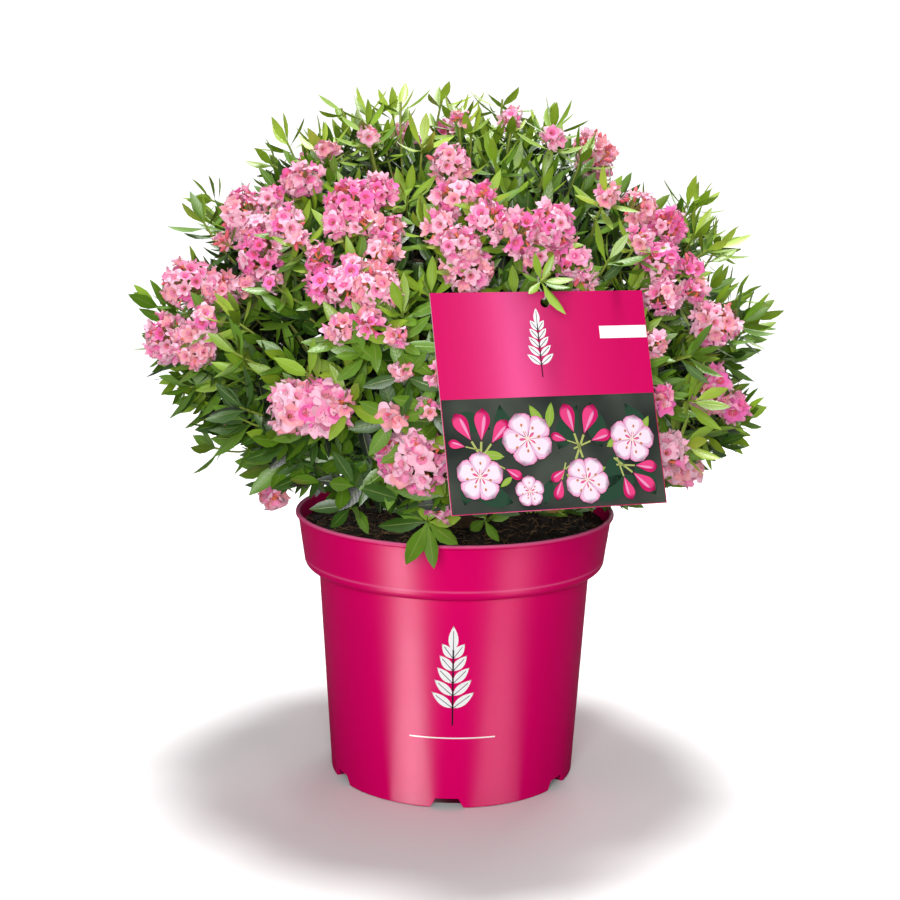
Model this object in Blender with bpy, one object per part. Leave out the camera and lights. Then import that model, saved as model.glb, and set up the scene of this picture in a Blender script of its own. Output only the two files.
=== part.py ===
"""A compact flowering rhododendron in its nursery pot, with a hang label on a thread.

Metres, +Z up. The origin is the middle of the pot's flat underside. The view that the sizes were
taken from looks along +Y, with +X to the right.
"""

import math
import random

import bmesh
import bpy
from mathutils import Matrix, Vector

# Fits
GAP = 0.0003
MERGE = 0.00002
ROUND_STEPS = 36

# Pot: a five litre container, 23 cm across its rim
POT_HEIGHT = 0.194
RIM_RADIUS = 0.115
LIP_ROLL = 0.0017
COLLAR_TOP_RADIUS = 0.1131
COLLAR_FOOT_RADIUS = 0.1088
COLLAR_FOOT = 0.1600
COLLAR_ROUNDING = 0.0070
SHOULDER_RADIUS = 0.0982
SHOULDER = 0.1520
BASE_RADIUS = 0.0891
FOOT_CHAMFER = 0.0012
POT_WALL = 0.0018
POT_FLOOR = 0.0028
INNER_FOOT_SPLAY = 0.0002

# Drain notches through the pot's foot
NOTCHES = 6
NOTCH_TURN = -2.0
NOTCH_HEIGHT = 0.0072
NOTCH_FOOT_WIDTH = 0.0235
NOTCH_TOP_WIDTH = 0.0160
NOTCH_REACH_IN = 0.0095
NOTCH_OVERCUT_OUT = 0.004
NOTCH_OVERCUT_DOWN = 0.002

# Potting soil
SOIL_LEVEL = 0.1830
SOIL_FOOT_CHAMFER = 0.0110

# Trunk, from its flat cut at the soil to its fork
TRUNK_FOOT = SOIL_LEVEL + GAP
TRUNK_FORK = 0.2480
TRUNK_FLARE_RADIUS = 0.0145
TRUNK_RADIUS = 0.0086
FORK_RADIUS = 0.0068
FLARE_HEIGHT = 0.014
TRUNK_LEAN = (0.006, -0.004)
FLARE_FADE = 3.2
BUTTRESSES = 4
BUTTRESS_SWELL = 0.16
BUTTRESS_FADE = 2.5
BUTTRESS_TURN = 0.6
FORK_DOME = 0.62
TRUNK_SIDES = 16
TRUNK_RINGS = 8
RING_CROWDING = 1.6

# Crown: an upturned, slightly flattened globe of foliage round its heart
HEART = Vector((0.0, 0.0, 0.250))
CROWN_HALF_WIDTH = 0.228
CROWN_HALF_DEPTH = 0.214
CROWN_WAIST = 0.325
CROWN_RISE = 0.168
CROWN_DROP = 0.135
CROWN_FULLNESS = 2.3
CROWN_TOP_SHIFT = -0.012
LOWEST_LIFT = -27.0

# Boughs and the masses of foliage they carry: name, how many, first turn, lift, height on trunk
TIERS = (
    ("low", 6, 12.0, -8.0, 0.207),
    ("mid", 6, -20.0, 24.0, 0.226),
    ("high", 4, 38.0, 60.0, 0.240),
)
TURN_JITTER = 5.0
LIFT_JITTER = 3.0
BOUGH_LENGTH = 0.088
BOUGH_FOOT_RADIUS = 0.0033
BOUGH_TIP_RADIUS = 0.0023
BOUGH_OUTWARD = 0.80
BOUGH_UPWARD = 0.75
BOUGH_BEND = 0.35
BOUGH_POINTS = 5
BOUGH_SIDES = 6
MASS_MARGIN = 0.0009
MASS_MIDDLE = 0.5
CORE_SHARE = 0.66
CORE_INSET = 0.011
CORE_COVER = 0.001
STEM_RADIUS = 0.0021

# Twigs, leaves and flower heads
TWIG_COUNT = 88
TWIG_REACH = 0.855
TWIG_FOOT_RADIUS = 0.0020
TWIG_TIP_RADIUS = 0.0011
TWIG_OUTTURN = 0.6
TWIG_UPTURN = 0.12
LEAF_LENGTH = 0.050
LEAF_WIDTH = 0.0165
LEAF_THICKNESS = 0.0018
LEAF_SCALES = (1.0, 0.85, 0.7)
LEAF_UNEVENNESS = (0.92, 1.06)
LEAVES_IN_WHORL = 5
BACK_LEAVES = 2
BACK_WHORL = 0.7
WHORL_UNEVENNESS = 0.15
LEAF_SPREAD = (48.0, 74.0)
LEAF_UPTURN = 0.16
LEAF_ROOT_BACK = 0.0016
LEAF_ROOT_STEP = 0.0009
LEAF_ROOT_SINK = 0.0006
LEAF_SPACING = 0.0085
LEAF_MARKS = (0.45, 0.72, 1.0)
BLOOM_RADIUS = 0.0250
BLOOM_STEP = 0.001
SMALLEST_BLOOM = 0.0150
BLOOM_DIMPLE = 0.80
BLOOM_SPACING = 0.9
BLOOM_FEELERS = 40
POT_CLEARANCE = 0.0025
RIM_OVERHANG = 0.010
TIP_ROOM = 0.006
TIP_BEHIND_LABEL = 0.026
NUDGE = 0.0015
NUDGES = 12

# Flower heads on the side that the view shows: turn to the right of the front, and lift, in degrees
FRONT_BLOOMS = (
    (-65, 20), (-58, 31), (-44, 38), (-38, 54), (-29, 12), (-21, 30), (-18, 45),
    (-8, 4), (-3, 57), (1, 37), (13, 43), (30, 72), (45, 58), (44, 41),
    (51, 31), (38, 22), (60, 14), (50, 2), (-59, -10),
)
BACK_BLOOM_STEP = 3

# Hang label and its thread
LABEL_WIDTH = 0.137
LABEL_HEIGHT = 0.131
LABEL_THICKNESS = 0.0009
LABEL_CENTRE = Vector((0.0545, -0.2030, 0.3060))
LABEL_YAW = 20.0
LABEL_LEAN = 20.0
LABEL_ROLL = -0.4
HOLE_RADIUS = 0.0030
HOLE_ACROSS = 0.0035
HOLE_DROP = 0.0068
LABEL_CLEARANCE = 0.0022
LABEL_COVER = 0.012
HOLE_CUTTER_DEPTH = 0.01
HOLE_SIDES = 16
THREAD_RADIUS = 0.00055
LOOP_RADIUS = 0.0026
LOOP_HEIGHT = 0.0150
LOOP_TWIST_START = 0.35
LOOP_TWIST_SHARE = 0.4
THREAD_POINTS = 36
THREAD_ROOM = (0.0057, 0.0057, 0.0115)
HANGER_RADIUS = 0.00155
HANGER_OVERRUN = 0.012
HANGER_SINK = 0.001
HANGER_SIDES = 6
HANGER_LEAF_ROOM = 0.004

SEED = 31


def clear_scene():
    """Start from an empty file."""
    for item in list(bpy.data.objects):
        bpy.data.objects.remove(item, do_unlink=True)


def material(name, colour, roughness, metallic=0.0):
    """A plain Principled finish."""
    finish = bpy.data.materials.new(name)
    finish.use_nodes = True
    shader = finish.node_tree.nodes["Principled BSDF"]
    shader.inputs["Base Color"].default_value = (*colour, 1.0)
    shader.inputs["Roughness"].default_value = roughness
    shader.inputs["Metallic"].default_value = metallic
    return finish


def add_object(name, mesh, finish, smooth_angle=None):
    """Link a mesh to the scene as one named piece."""
    piece = bpy.data.objects.new(name, mesh)
    bpy.context.scene.collection.objects.link(piece)
    if finish is not None:
        mesh.materials.append(finish)
    if smooth_angle is not None:
        mesh.shade_smooth()
        mesh.set_sharp_from_angle(angle=math.radians(smooth_angle))
    return piece


def mesh_from(bm, name):
    """Turn a bmesh into a mesh and free it."""
    mesh = bpy.data.meshes.new(name)
    bm.to_mesh(mesh)
    bm.free()
    return mesh


def heading(turn, lift):
    """Direction at a turn to the right of the front (-Y) and a lift above level, in degrees."""
    turn, lift = math.radians(turn), math.radians(lift)
    return Vector((math.sin(turn) * math.cos(lift), -math.cos(turn) * math.cos(lift), math.sin(lift)))


def side_axes(axis):
    """Two unit vectors square to an axis and to each other."""
    helper = Vector((0, 0, 1)) if abs(axis.z) < 0.9 else Vector((1, 0, 0))
    across = axis.cross(helper).normalized()
    return across, across.cross(axis).normalized()


def arc(centre, radius, start, end, steps):
    """Points of an arc in the turned profile's plane, angles in degrees from outward."""
    points = []
    for step in range(steps + 1):
        angle = math.radians(start + (end - start) * step / steps)
        points.append((centre[0] + radius * math.cos(angle), centre[1] + radius * math.sin(angle)))
    return points


def turned(name, profile, finish):
    """A round piece from a profile that starts and ends on the axis."""
    mesh = bpy.data.meshes.new(name)
    points = [(radius, 0.0, height) for radius, height in profile]
    mesh.from_pydata(points, [(i, i + 1) for i in range(len(points) - 1)], [])
    piece = add_object(name, mesh, finish)
    screw = piece.modifiers.new("turn", "SCREW")
    screw.steps = ROUND_STEPS
    screw.render_steps = ROUND_STEPS
    screw.use_merge_vertices = True
    screw.merge_threshold = MERGE
    screw.use_smooth_shade = True
    return piece


def wall_profile(offset):
    """The pot's outer side below the lip, top to bottom, moved in by an offset."""
    rounding = COLLAR_ROUNDING - 0.5 * offset
    corner = (COLLAR_FOOT_RADIUS - rounding - offset, COLLAR_FOOT)
    points = [(COLLAR_TOP_RADIUS - offset, POT_HEIGHT - 2 * LIP_ROLL)]
    points += arc(corner, rounding, 0, -62, 2)
    points.append((SHOULDER_RADIUS - offset, SHOULDER))
    return points


def make_pot(finish):
    """The pot: rolled lip, deep collar, tapering body and a flat foot with drain notches."""
    lip_centre = (RIM_RADIUS - LIP_ROLL, POT_HEIGHT - LIP_ROLL)
    inner_wall = wall_profile(POT_WALL)
    inner_wall.append((BASE_RADIUS - POT_WALL + INNER_FOOT_SPLAY, POT_FLOOR))
    profile = [(0.0, POT_FLOOR)]
    profile += list(reversed(inner_wall))
    profile += arc(lip_centre, LIP_ROLL, 180, -60, 5)
    profile += wall_profile(0.0)
    profile.append((BASE_RADIUS, FOOT_CHAMFER))
    profile.append((BASE_RADIUS - FOOT_CHAMFER, 0.0))
    profile.append((0.0, 0.0))
    pot = turned("pot", profile, finish)
    for number in range(NOTCHES):
        cutter = notch_cutter(number)
        cut = pot.modifiers.new(f"notch {number + 1}", "BOOLEAN")
        cut.operation = "DIFFERENCE"
        cut.solver = "EXACT"
        cut.object = cutter
    return pot


def notch_cutter(number):
    """A wedge that is wide at the foot and narrow at its top, pointing in from outside."""
    turn = math.radians(NOTCH_TURN + 360.0 * number / NOTCHES)
    inner = BASE_RADIUS - NOTCH_REACH_IN
    outer = BASE_RADIUS + NOTCH_OVERCUT_OUT
    foot = -NOTCH_OVERCUT_DOWN
    spread = (NOTCH_FOOT_WIDTH - NOTCH_TOP_WIDTH) / NOTCH_HEIGHT * foot
    outline = (
        (-(NOTCH_FOOT_WIDTH - spread) / 2, foot),
        ((NOTCH_FOOT_WIDTH - spread) / 2, foot),
        (NOTCH_TOP_WIDTH / 2, NOTCH_HEIGHT),
        (-NOTCH_TOP_WIDTH / 2, NOTCH_HEIGHT),
    )
    bm = bmesh.new()
    face = bm.faces.new([bm.verts.new((x, -outer, z)) for x, z in outline])
    grown = bmesh.ops.extrude_face_region(bm, geom=[face])
    moved = [item for item in grown["geom"] if isinstance(item, bmesh.types.BMVert)]
    bmesh.ops.translate(bm, verts=moved, vec=(0, outer - inner, 0))
    bmesh.ops.recalc_face_normals(bm, faces=bm.faces)
    bmesh.ops.rotate(bm, verts=bm.verts, cent=(0, 0, 0), matrix=Matrix.Rotation(turn, 3, "Z"))
    cutter = add_object(f"notch_cutter_{number + 1}", mesh_from(bm, "notch cutter"), None)
    cutter.hide_render = True
    cutter.display_type = "WIRE"
    return cutter


def make_soil(finish):
    """The block of potting soil, a gap clear of the pot's floor and wall."""
    offset = POT_WALL + GAP
    wall = wall_profile(offset)
    top, foot = wall[0], wall[1]
    share = (SOIL_LEVEL - foot[1]) / (top[1] - foot[1])
    edge_radius = foot[0] + (top[0] - foot[0]) * share
    floor = POT_FLOOR + GAP
    share = (floor + SOIL_FOOT_CHAMFER) / SHOULDER
    foot_radius = BASE_RADIUS - offset + (SHOULDER_RADIUS - BASE_RADIUS) * share
    profile = [(0.0, SOIL_LEVEL), (edge_radius, SOIL_LEVEL)]
    profile += wall[1:]
    profile.append((foot_radius, floor + SOIL_FOOT_CHAMFER))
    profile.append((foot_radius - SOIL_FOOT_CHAMFER, floor))
    profile.append((0.0, floor))
    return turned("soil", profile, finish)


def trunk_point(height):
    """The leaning trunk's axis at a height."""
    share = (TRUNK_FORK - height) / (TRUNK_FORK - TRUNK_FOOT)
    return Vector((TRUNK_LEAN[0] * share, TRUNK_LEAN[1] * share, height))


def trunk_radius(height):
    """Taper from the root flare to the fork."""
    share = (height - TRUNK_FOOT) / (TRUNK_FORK - TRUNK_FOOT)
    flare = TRUNK_FLARE_RADIUS - TRUNK_RADIUS
    flare *= math.exp(-FLARE_FADE * (height - TRUNK_FOOT) / FLARE_HEIGHT)
    return TRUNK_RADIUS + (FORK_RADIUS - TRUNK_RADIUS) * share + flare


def trunk_rim(side, height):
    """A corner of the trunk's outline at a height, with the roots' buttresses."""
    angle = math.tau * side / TRUNK_SIDES
    swell = BUTTRESS_SWELL * math.exp(-BUTTRESS_FADE * (height - TRUNK_FOOT) / FLARE_HEIGHT)
    swell *= math.cos(BUTTRESSES * angle + BUTTRESS_TURN)
    return Vector((math.cos(angle), math.sin(angle), 0)) * (trunk_radius(height) * (1 + swell))


def trunk_reach(flat, height):
    """Distance from the trunk's axis to its flat-sided surface, towards a level direction."""
    turn = math.atan2(flat.y, flat.x) % math.tau
    side = int(turn / math.tau * TRUNK_SIDES)
    near, far = trunk_rim(side, height), trunk_rim(side + 1, height)
    edge = far - near
    return near.cross(edge).z / flat.cross(edge).z


def ring_of(bm, centre, axis, first, radius, sides):
    """A ring of corners square to an axis, with its first corner to a given side."""
    second = axis.cross(first).normalized()
    first = second.cross(axis)
    verts = []
    for side in range(sides):
        angle = math.tau * side / sides
        verts.append(bm.verts.new(centre + (first * math.cos(angle) + second * math.sin(angle)) * radius))
    return verts


def skin_rings(bm, rings):
    """Close a limb over its rings, with a flat cut at both ends."""
    for lower, upper in zip(rings, rings[1:]):
        for side in range(len(lower)):
            other = (side + 1) % len(lower)
            bm.faces.new((lower[side], lower[other], upper[other], upper[side]))
    bm.faces.new(list(reversed(rings[0])))
    bm.faces.new(rings[-1])


def make_trunk(finish):
    """A short leaning trunk with buttressed roots and a domed fork."""
    bm = bmesh.new()
    rings = []
    for ring in range(TRUNK_RINGS + 1):
        height = TRUNK_FOOT + (TRUNK_FORK - TRUNK_FOOT) * (ring / TRUNK_RINGS) ** RING_CROWDING
        centre = trunk_point(height)
        rings.append([bm.verts.new(centre + trunk_rim(side, height)) for side in range(TRUNK_SIDES)])
    dome = trunk_point(TRUNK_FORK) + Vector((0, 0, FORK_RADIUS / 2))
    tops = [dome + trunk_rim(side, TRUNK_FORK) * FORK_DOME for side in range(TRUNK_SIDES)]
    rings.append([bm.verts.new(top) for top in tops])
    skin_rings(bm, rings)
    return add_object("trunk", mesh_from(bm, "trunk"), finish, 50)


class Mass:
    """One mass of foliage: its place round the heart, its bough and the space it keeps to."""

    def __init__(self, tier, number, turn, lift, height):
        self.name = f"{tier}_{number}"
        self.heading = heading(turn, lift)
        self.height = height
        self.bough_tip = HEART + self.heading * BOUGH_LENGTH
        self.walls = []
        self.leaves = []
        outer = crown_reach(self.heading, CORE_SHARE)
        self.centre = HEART + self.heading * (MASS_MIDDLE * (BOUGH_LENGTH + outer))

    def set_walls(self, masses):
        """Planes that part this mass from its neighbours, and from the bare inside of the crown."""
        self.walls = [(self.bough_tip + self.heading * GAP, self.heading)]
        for other in masses:
            if other is not self:
                away = (self.heading - other.heading).normalized()
                self.walls.append((HEART + away * MASS_MARGIN, away))

    def holds(self, points, room=0.0):
        """True where every point lies inside this mass's walls, with room to spare."""
        for point in points:
            for origin, away in self.walls:
                if (point - origin).dot(away) < room:
                    return False
        return True

    def free_length(self, start, direction):
        """How far a ray from inside runs before it meets a wall."""
        length = 1.0
        for origin, away in self.walls:
            closing = -direction.dot(away)
            if closing > 1e-6:
                length = min(length, (start - origin).dot(away) / closing)
        return length


def make_masses():
    """All masses, tier by tier, with a little seeded unevenness."""
    rng = random.Random(SEED)
    masses = []
    for tier, count, first, lift, height in TIERS:
        for number in range(count):
            turn = first + 360.0 * number / count + rng.uniform(-TURN_JITTER, TURN_JITTER)
            raised = lift + rng.uniform(-LIFT_JITTER, LIFT_JITTER)
            masses.append(Mass(tier, number + 1, turn, raised, height))
    for mass in masses:
        mass.set_walls(masses)
    return masses


def crown_level(point, share=1.0):
    """Below 1 inside the crown's outline, drawn in towards its heart by a share."""
    spot = HEART + (point - HEART) / share
    rise = spot.z - CROWN_WAIST
    half = CROWN_RISE if rise > 0 else CROWN_DROP
    across = spot.x - CROWN_TOP_SHIFT * rise / CROWN_RISE
    flat = math.hypot(across / CROWN_HALF_WIDTH, spot.y / CROWN_HALF_DEPTH)
    return flat ** CROWN_FULLNESS + abs(rise / half) ** CROWN_FULLNESS


def crown_reach(direction, share=1.0, start=HEART):
    """Distance from a start inside the crown to its outline."""
    near, far = 0.0, 0.5
    for _ in range(24):
        middle = (near + far) / 2
        if crown_level(start + direction * middle, share) < 1:
            near = middle
        else:
            far = middle
    return near


def even_headings(count, lowest=LOWEST_LIFT):
    """Directions spread evenly over a globe, from the lowest lift to straight up."""
    floor = math.sin(math.radians(lowest))
    golden = math.pi * (3 - math.sqrt(5))
    headings = []
    for number in range(count):
        rise = 1 - (number + 0.5) / count * (1 - floor)
        flat = math.sqrt(max(0.0, 1 - rise * rise))
        headings.append(Vector((math.cos(golden * number) * flat, math.sin(golden * number) * flat, rise)))
    return headings


def nearest_mass(masses, direction):
    """The mass whose heading lies closest to a direction."""
    return max(masses, key=lambda mass: mass.heading.dot(direction))


class Label:
    """The hang label's place: its centre, its axes and the hole the thread runs through."""

    def __init__(self):
        yaw, lean, roll = (math.radians(angle) for angle in (LABEL_YAW, LABEL_LEAN, LABEL_ROLL))
        flat = Vector((math.cos(yaw), math.sin(yaw), 0))
        self.front = Vector((math.sin(yaw), -math.cos(yaw), 0))
        up = math.cos(lean) * Vector((0, 0, 1)) - math.sin(lean) * self.front
        self.across = math.cos(roll) * flat + math.sin(roll) * up
        self.up = -math.sin(roll) * flat + math.cos(roll) * up
        self.front = self.across.cross(self.up).normalized()
        top_edge = LABEL_CENTRE + self.up * (LABEL_HEIGHT / 2)
        self.hole = top_edge - self.up * HOLE_DROP + self.across * HOLE_ACROSS
        # The thread's lowest turn lies against the hole's upper edge
        self.loop_foot = self.hole + self.up * (HOLE_RADIUS - THREAD_RADIUS - GAP)
        self.loop_top = self.loop_foot + self.up * LOOP_HEIGHT

    def frame(self):
        """Matrix from the label's own axes to the world."""
        turn = Matrix((self.across, self.up, self.front)).transposed().to_4x4()
        return Matrix.Translation(LABEL_CENTRE) @ turn

    def clears(self, points, room=LABEL_CLEARANCE):
        """True where one side of the label's slab has every point beyond it."""
        spots = [point - LABEL_CENTRE for point in points]
        behind = all(spot.dot(self.front) < -LABEL_THICKNESS / 2 - room for spot in spots)
        above = all(spot.dot(self.up) > LABEL_HEIGHT / 2 + room for spot in spots)
        below = all(spot.dot(self.up) < -LABEL_HEIGHT / 2 - room for spot in spots)
        right = all(spot.dot(self.across) > LABEL_WIDTH / 2 + room for spot in spots)
        left = all(spot.dot(self.across) < -LABEL_WIDTH / 2 - room for spot in spots)
        return behind or above or below or right or left

    def thread_clears(self, points):
        """True where the points stay on one side of the upright box round the thread."""
        middle = (self.loop_foot + self.loop_top) / 2
        for axis, room in enumerate(THREAD_ROOM):
            if all(point[axis] > middle[axis] + room for point in points):
                return True
            if all(point[axis] < middle[axis] - room for point in points):
                return True
        return False

    def hides(self, point):
        """True where the label stands over a place on the crown, seen square on."""
        spot = point - LABEL_CENTRE
        level = abs(spot.dot(self.across)) < LABEL_WIDTH / 2 + LABEL_COVER
        return level and abs(spot.dot(self.up)) < LABEL_HEIGHT / 2 + LABEL_COVER

    def depth_behind(self, point):
        """How far a point lies behind the label's back."""
        return -(point - LABEL_CENTRE).dot(self.front) - LABEL_THICKNESS / 2


def make_label(label, finish):
    """A stiff card with one round hole near its top edge."""
    bm = bmesh.new()
    size = Matrix.Diagonal((LABEL_WIDTH, LABEL_HEIGHT, LABEL_THICKNESS, 1.0))
    bmesh.ops.create_cube(bm, size=1.0, matrix=label.frame() @ size)
    card = add_object("label", mesh_from(bm, "label"), finish)
    bm = bmesh.new()
    place = Matrix.Translation(label.hole - LABEL_CENTRE) @ label.frame()
    bmesh.ops.create_cone(bm, cap_ends=True, segments=HOLE_SIDES, radius1=HOLE_RADIUS,
                          radius2=HOLE_RADIUS, depth=HOLE_CUTTER_DEPTH, matrix=place)
    cutter = add_object("label_hole_cutter", mesh_from(bm, "label hole cutter"), None)
    cutter.hide_render = True
    cutter.display_type = "WIRE"
    cut = card.modifiers.new("hole", "BOOLEAN")
    cut.operation = "DIFFERENCE"
    cut.solver = "EXACT"
    cut.object = cutter
    return card


def thread_route(label):
    """A closed loop that turns by a quarter between the hanger twig and the label's hole."""
    straight = LOOP_HEIGHT - 2 * LOOP_RADIUS
    up = label.up
    half_turn = math.pi * LOOP_RADIUS
    total = 2 * (half_turn + straight)
    points = []
    for number in range(THREAD_POINTS):
        travel = total * number / THREAD_POINTS
        if travel < half_turn:
            angle = travel / LOOP_RADIUS
            side, height = math.cos(angle), -math.sin(angle)
            centre, height = label.loop_foot + up * LOOP_RADIUS, height * LOOP_RADIUS
        elif travel < half_turn + straight:
            side = -1.0
            centre, height = label.loop_foot + up * LOOP_RADIUS, travel - half_turn
        elif travel < 2 * half_turn + straight:
            angle = (travel - half_turn - straight) / LOOP_RADIUS
            side, height = -math.cos(angle), math.sin(angle)
            centre, height = label.loop_foot + up * (LOOP_RADIUS + straight), height * LOOP_RADIUS
        else:
            side = 1.0
            centre = label.loop_foot + up * LOOP_RADIUS
            height = total - travel
        place = centre + up * height
        share = (place - label.loop_foot).dot(up) / LOOP_HEIGHT
        twist = min(1.0, max(0.0, (share - LOOP_TWIST_START) / LOOP_TWIST_SHARE))
        facing = label.front.lerp(label.across, twist).normalized()
        points.append(place + facing * (side * LOOP_RADIUS))
    return points


def make_thread(label, finish):
    """The thin thread that the label hangs by, as one closed ring of wire."""
    curve = bpy.data.curves.new("label_thread", "CURVE")
    curve.dimensions = "3D"
    curve.bevel_depth = THREAD_RADIUS
    curve.bevel_resolution = 0
    spline = curve.splines.new("POLY")
    route = thread_route(label)
    spline.points.add(len(route) - 1)
    for spot, place in zip(spline.points, route):
        spot.co = (*place, 1.0)
    spline.use_cyclic_u = True
    thread = bpy.data.objects.new("label_thread", curve)
    curve.materials.append(finish)
    bpy.context.scene.collection.objects.link(thread)
    return thread


def hanger_axis_point(label):
    """Where the hanger twig's axis runs under the thread's top turn."""
    return label.loop_top - label.up * (THREAD_RADIUS + GAP + HANGER_RADIUS)


def seat_on_trunk(mass, flat, upper_side):
    """Where a bough's foot starts, so that the upper side of its end lies a gap off the trunk."""
    corner = upper_side * BOUGH_FOOT_RADIUS
    height = mass.height + corner.z
    contact = trunk_point(height) + flat * (trunk_reach(flat, height) + GAP)
    return contact - corner


def make_bough(mass, finish):
    """One tapering limb that leaves the trunk steeply and curves out to its mass."""
    flat = Vector((mass.heading.x, mass.heading.y, 0)).normalized()
    leaving = (flat * BOUGH_OUTWARD + Vector((0, 0, BOUGH_UPWARD))).normalized()
    upper_side = leaving.cross(flat.cross(leaving)).normalized() * -1
    start = seat_on_trunk(mass, flat, upper_side)
    end = mass.bough_tip
    reach = (end - start).length
    first = start + leaving * (reach * BOUGH_BEND)
    second = end - mass.heading * (reach * BOUGH_BEND)
    bm = bmesh.new()
    rings = []
    for number in range(BOUGH_POINTS):
        share = number / (BOUGH_POINTS - 1)
        back = 1 - share
        place = start * back ** 3 + first * (3 * back * back * share)
        place += second * (3 * back * share * share) + end * share ** 3
        axis = (first - start) * back ** 2 + (second - first) * (2 * back * share)
        axis = (axis + (end - second) * share ** 2).normalized()
        radius = BOUGH_FOOT_RADIUS + (BOUGH_TIP_RADIUS - BOUGH_FOOT_RADIUS) * share
        rings.append(ring_of(bm, place, axis, upper_side, radius, BOUGH_SIDES))
    skin_rings(bm, rings)
    return add_object(f"bough_{mass.name}", mesh_from(bm, "bough"), finish, 50)


def clear_of_pot(points):
    """True where a shape is above the rim, or hangs outside it."""
    if all(point.z > POT_HEIGHT + POT_CLEARANCE for point in points):
        return True
    if any(point.z < POT_HEIGHT - RIM_OVERHANG for point in points):
        return False
    centre = sum(points, Vector()) / len(points)
    outward = Vector((centre.x, centre.y, 0)).normalized()
    return all(point.dot(outward) > RIM_RADIUS + POT_CLEARANCE for point in points)


def add_part(parts, bm):
    """Put one closed shape into the collection that a mass is fused from."""
    piece = bpy.data.objects.new("spray", mesh_from(bm, "spray"))
    parts.objects.link(piece)


def twig_matrix(start, end):
    """Matrix that stands a cone's axis along a line, centred on it."""
    turn = Vector((0, 0, 1)).rotation_difference(end - start).to_matrix().to_4x4()
    return Matrix.Translation((start + end) / 2) @ turn


def add_twig(parts, start, end, foot_radius, tip_radius, sides=3):
    """A tapering twig, three-sided unless something hangs on it."""
    bm = bmesh.new()
    bmesh.ops.create_cone(bm, cap_ends=True, segments=sides, radius1=foot_radius, radius2=tip_radius,
                          depth=(end - start).length, matrix=twig_matrix(start, end))
    add_part(parts, bm)


def leaf_points(root, along, across, length):
    """Root, tip, two margins, ridge and keel of an eight-faced leaf blade."""
    normal = along.cross(across).normalized()
    width = LEAF_WIDTH * length / LEAF_LENGTH
    middle = root + along * (length * 0.5)
    return [
        root,
        root + along * length,
        middle - across * (width / 2),
        middle + across * (width / 2),
        middle + normal * (LEAF_THICKNESS / 2),
        middle - normal * (LEAF_THICKNESS / 2),
    ]


def add_leaf(parts, points):
    """The blade as eight faces between its six points."""
    bm = bmesh.new()
    root, tip, left, right, ridge, keel = (bm.verts.new(point) for point in points)
    for face in (ridge, keel):
        for first, second in ((root, left), (left, tip), (tip, right), (right, root)):
            bm.faces.new((first, second, face))
    bmesh.ops.recalc_face_normals(bm, faces=bm.faces)
    add_part(parts, bm)


def leaf_fits(mass, label, points, hanger=False):
    """True where a leaf keeps to its mass's space and clear of core, pot, label and thread."""
    tip, left, right = points[1:4]
    if not mass.holds(points) or not clear_of_pot(points):
        return False
    if crown_level(tip) > 1.0 or not label.clears(points):
        return False
    if any(inside_core(mass, label, point) for point in (tip, left, right, (left + right) / 2)):
        return False
    if hanger:
        return (tip - label.loop_top).dot(label.front) > HANGER_LEAF_ROOM
    return label.thread_clears(points)


def leaf_apart(points, others):
    """True where a leaf's outer half stays away from every leaf before it."""
    root, tip = points[:2]
    marks = [root.lerp(tip, share) for share in LEAF_MARKS]
    for other in others:
        for mark in marks:
            if any((mark - place).length < LEAF_SPACING for place in other):
                return False
    others.append(marks)
    return True


def add_whorl(parts, mass, label, tip, axis, rng, count=LEAVES_IN_WHORL, hanger=False):
    """Leaves round a twig's tip, each as long as its space allows; the rest are skipped."""
    first, second = side_axes(axis)
    start_turn = rng.uniform(0, math.tau)
    for number in range(count):
        turn = start_turn + math.tau * number / count
        turn += rng.uniform(-WHORL_UNEVENNESS, WHORL_UNEVENNESS)
        spread = math.radians(rng.uniform(*LEAF_SPREAD))
        side = first * math.cos(turn) + second * math.sin(turn)
        along = axis * math.cos(spread) + side * math.sin(spread) + Vector((0, 0, LEAF_UPTURN))
        along.normalize()
        across = along.cross(axis).normalized()
        root = tip - axis * (LEAF_ROOT_BACK + LEAF_ROOT_STEP * number) - along * LEAF_ROOT_SINK
        for scale in LEAF_SCALES:
            length = LEAF_LENGTH * scale * rng.uniform(*LEAF_UNEVENNESS)
            points = leaf_points(root, along, across, length)
            if leaf_fits(mass, label, points, hanger) and leaf_apart(points, mass.leaves):
                add_leaf(parts, points)
                break


def add_bloom(parts, centre, radius, rng):
    """A dome of florets: a globe whose twelve main points stand out."""
    bm = bmesh.new()
    bmesh.ops.create_icosphere(bm, subdivisions=2, radius=1.0)
    turn = Matrix.Rotation(rng.uniform(0, math.tau), 3, Vector((rng.random(), rng.random(), 1)).normalized())
    for vert in bm.verts:
        standing = len(vert.link_edges) == 5
        vert.co = turn @ vert.co * radius * (1.0 if standing else BLOOM_DIMPLE)
        vert.co += centre
    add_part(parts, bm)


def core_length(mass, label, direction):
    """How far a mass's core reaches from its centre: drawn in from walls, outline, rim and label."""
    length = mass.free_length(mass.centre, direction) - CORE_INSET
    length = min(length, crown_reach(direction, CORE_SHARE, mass.centre))
    if direction.z < 0:
        length = min(length, (mass.centre.z - POT_HEIGHT - CORE_INSET) / -direction.z)
    closing = direction.dot(label.front)
    if closing > 0.05 and label.hides(mass.centre + direction * length):
        length = min(length, (label.depth_behind(mass.centre) - CORE_INSET) / closing)
    return length


def inside_core(mass, label, point):
    """True where a point lies within the core, or hardly stands out of it."""
    spot = point - mass.centre
    return spot.length < core_length(mass, label, spot.normalized()) + CORE_COVER


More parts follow.
